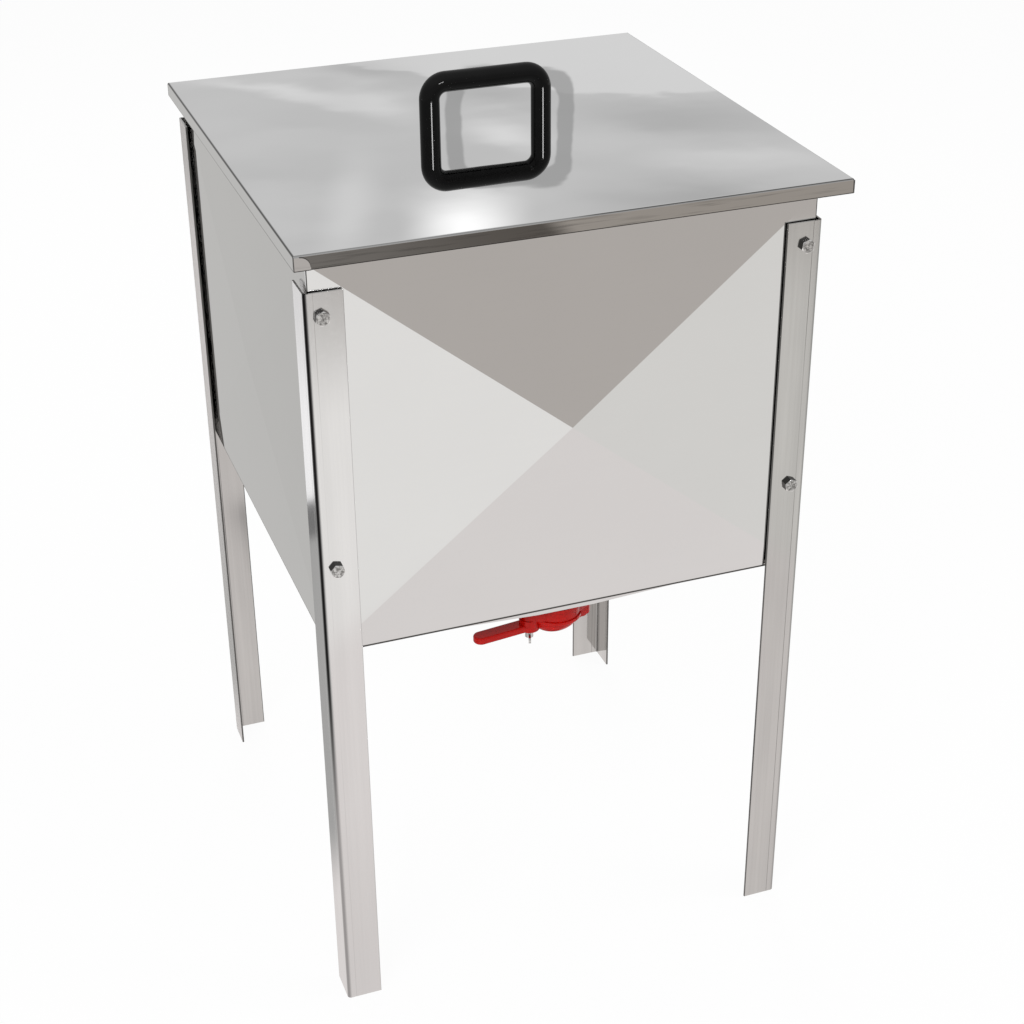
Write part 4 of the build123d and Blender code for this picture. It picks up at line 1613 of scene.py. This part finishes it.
@dataclass
class Studio:
    """Camera, floor, air and lamps."""

    eye: Point = (-0.6419, -1.8505, 1.5169)
    azimuth: float = -19.817
    elevation: float = 29.261
    roll: float = -0.522
    lens: float = 67.959
    sensor: float = 36.0
    floor_reach: float = 9.0
    floor_level: float = -0.0003
    floor_tint: float = 0.85
    white_share: float = 0.955
    air_light: float = 0.45
    backdrop: float = 0.975
    floor_plan: FloorPlan = FloorPlan()
    room: Room = Room()
    lamp_aim: Point = (0.0, 0.0, 0.6)
    lamps: dict[str, tuple[Point, float, float]] = field(default_factory=lambda: {
        "key_lamp": ((-2.0, -2.2, 2.6), 1.6, 70.0),
        "fill_lamp": ((2.4, -1.2, 2.0), 1.6, 30.0),
        "back_lamp": ((0.4, 2.6, 2.4), 1.4, 35.0),
    })

    def build(self) -> None:
        """Sets up the studio."""
        scene = bpy.context.scene
        scene.view_settings.view_transform = "Standard"
        self._camera(scene)
        self._floor(scene)
        self._air(scene)
        for name, (place, side, power) in self.lamps.items():
            self._lamp(scene, name, place, side, power)

    def _camera(self, scene: bpy.types.Scene) -> None:
        """Places the camera where the photograph was taken from.

        Args:
            scene: The scene.
        """
        turn, tilt, roll = (math.radians(v) for v in (self.azimuth, self.elevation, self.roll))
        flat = math.cos(tilt)
        back = Vector((math.sin(turn) * flat, -math.cos(turn) * flat, math.sin(tilt)))
        level = Vector((math.cos(turn), math.sin(turn), 0.0))
        right = math.cos(roll) * level + math.sin(roll) * back.cross(level)
        data = bpy.data.cameras.new("camera")
        data.lens = self.lens
        data.sensor_width = self.sensor
        camera = bpy.data.objects.new("camera", data)
        axes = Matrix((right, back.cross(right), back)).transposed().to_4x4()
        camera.matrix_world = Matrix.Translation(self.eye) @ axes
        scene.collection.objects.link(camera)
        scene.camera = camera

    @staticmethod
    def _rays(graph: Graph) -> tuple[Term, Term]:
        """How a ray meets the studio.

        Args:
            graph: The graph of the floor or the air.

        Returns:
            1 for a camera ray, and 1 for a glossy or transmission ray.
        """
        path = graph.node("ShaderNodeLightPath")
        rays = {ray: Term(graph, path.outputs[ray.value]) for ray in Ray}
        return rays[Ray.CAMERA], rays[Ray.GLOSSY].most(rays[Ray.TRANSMISSION])

    def _floor(self, scene: bpy.types.Scene) -> None:
        """Lays a pale floor, with the tones that bright steel sees in it.

        Args:
            scene: The scene.
        """
        reach, level = self.floor_reach, self.floor_level
        mesh = bpy.data.meshes.new("floor")
        corners = ((-1, -1), (1, -1), (1, 1), (-1, 1))
        mesh.from_pydata([(x * reach, y * reach, level) for x, y in corners], [], [(0, 1, 2, 3)])
        floor = bpy.data.objects.new("floor", mesh)
        scene.collection.objects.link(floor)
        material = bpy.data.materials.new("floor_paper")
        material.use_nodes = True
        graph = Graph(material.node_tree)
        place = graph.term("ShaderNodeTexCoord", None, None, "Object")
        camera, mirrored = self._rays(graph)
        tint = (*grey(self.floor_tint), 1.0)
        paper = graph.node("ShaderNodeBsdfDiffuse", None, {"Color": tint})
        inputs = {"Color": (1.0, 1.0, 1.0, 1.0), "Strength": 1.0}
        white = graph.node("ShaderNodeEmission", None, inputs)
        inputs = {0: self.white_share * camera, 1: paper, 2: white}
        seen = graph.node("ShaderNodeMixShader", None, inputs)
        x, y, _ = graph.split(place)
        inputs = {"Color": self.floor_plan.whole().colour(graph, x, y), "Strength": 1.0}
        glow = graph.node("ShaderNodeEmission", None, inputs)
        surface = graph.node("ShaderNodeMixShader", None, {0: mirrored, 1: seen, 2: glow})
        graph.node("ShaderNodeOutputMaterial", None, {"Surface": surface})
        mesh.materials.append(material)

    def _air(self, scene: bpy.types.Scene) -> None:
        """Fills the studio with soft light and gives bright steel a room to mirror.

        Args:
            scene: The scene.
        """
        world = bpy.data.worlds.new("studio_air")
        world.use_nodes = True
        scene.world = world
        graph = Graph(world.node_tree)
        place = graph.term("ShaderNodeTexCoord", None, None, "Generated")
        camera, mirrored = self._rays(graph)
        tone = graph.blend(mirrored, grey(self.air_light), self.room.tone(graph, place))
        tone = graph.blend(camera, tone, grey(self.backdrop))
        air = graph.node("ShaderNodeBackground", None, {"Color": tone, "Strength": 1.0})
        graph.node("ShaderNodeOutputWorld", None, {"Surface": air})

    def _lamp(
        self, scene: bpy.types.Scene, name: str, place: Point, side: float, power: float
    ) -> None:
        """Hangs a square soft lamp that looks at the tank and isn't mirrored in it.

        Args:
            scene: The scene.
            name: The lamp's name.
            place: Where it hangs.
            side: Its width and height.
            power: Its power in watts.
        """
        data = bpy.data.lights.new(name, "AREA")
        data.size = side
        data.energy = power
        lamp = bpy.data.objects.new(name, data)
        aim = Vector(self.lamp_aim) - Vector(place)
        lamp.rotation_mode = "QUATERNION"
        lamp.rotation_quaternion = aim.to_track_quat("-Z", "Y")
        lamp.location = place
        lamp.visible_camera = False
        lamp.visible_glossy = False
        scene.collection.objects.link(lamp)


def main() -> None:
    """Builds the sub-assemblies in order."""
    logging.basicConfig(level=logging.INFO, format="%(message)s")
    for thing in list(bpy.data.objects):
        bpy.data.objects.remove(thing)
    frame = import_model()
    for part in (Tank(), Legs(), Lid(), Strainer(), HoneyGate()):
        part.build(frame)
    Studio().build()


if __name__ == "__main__":
    main()
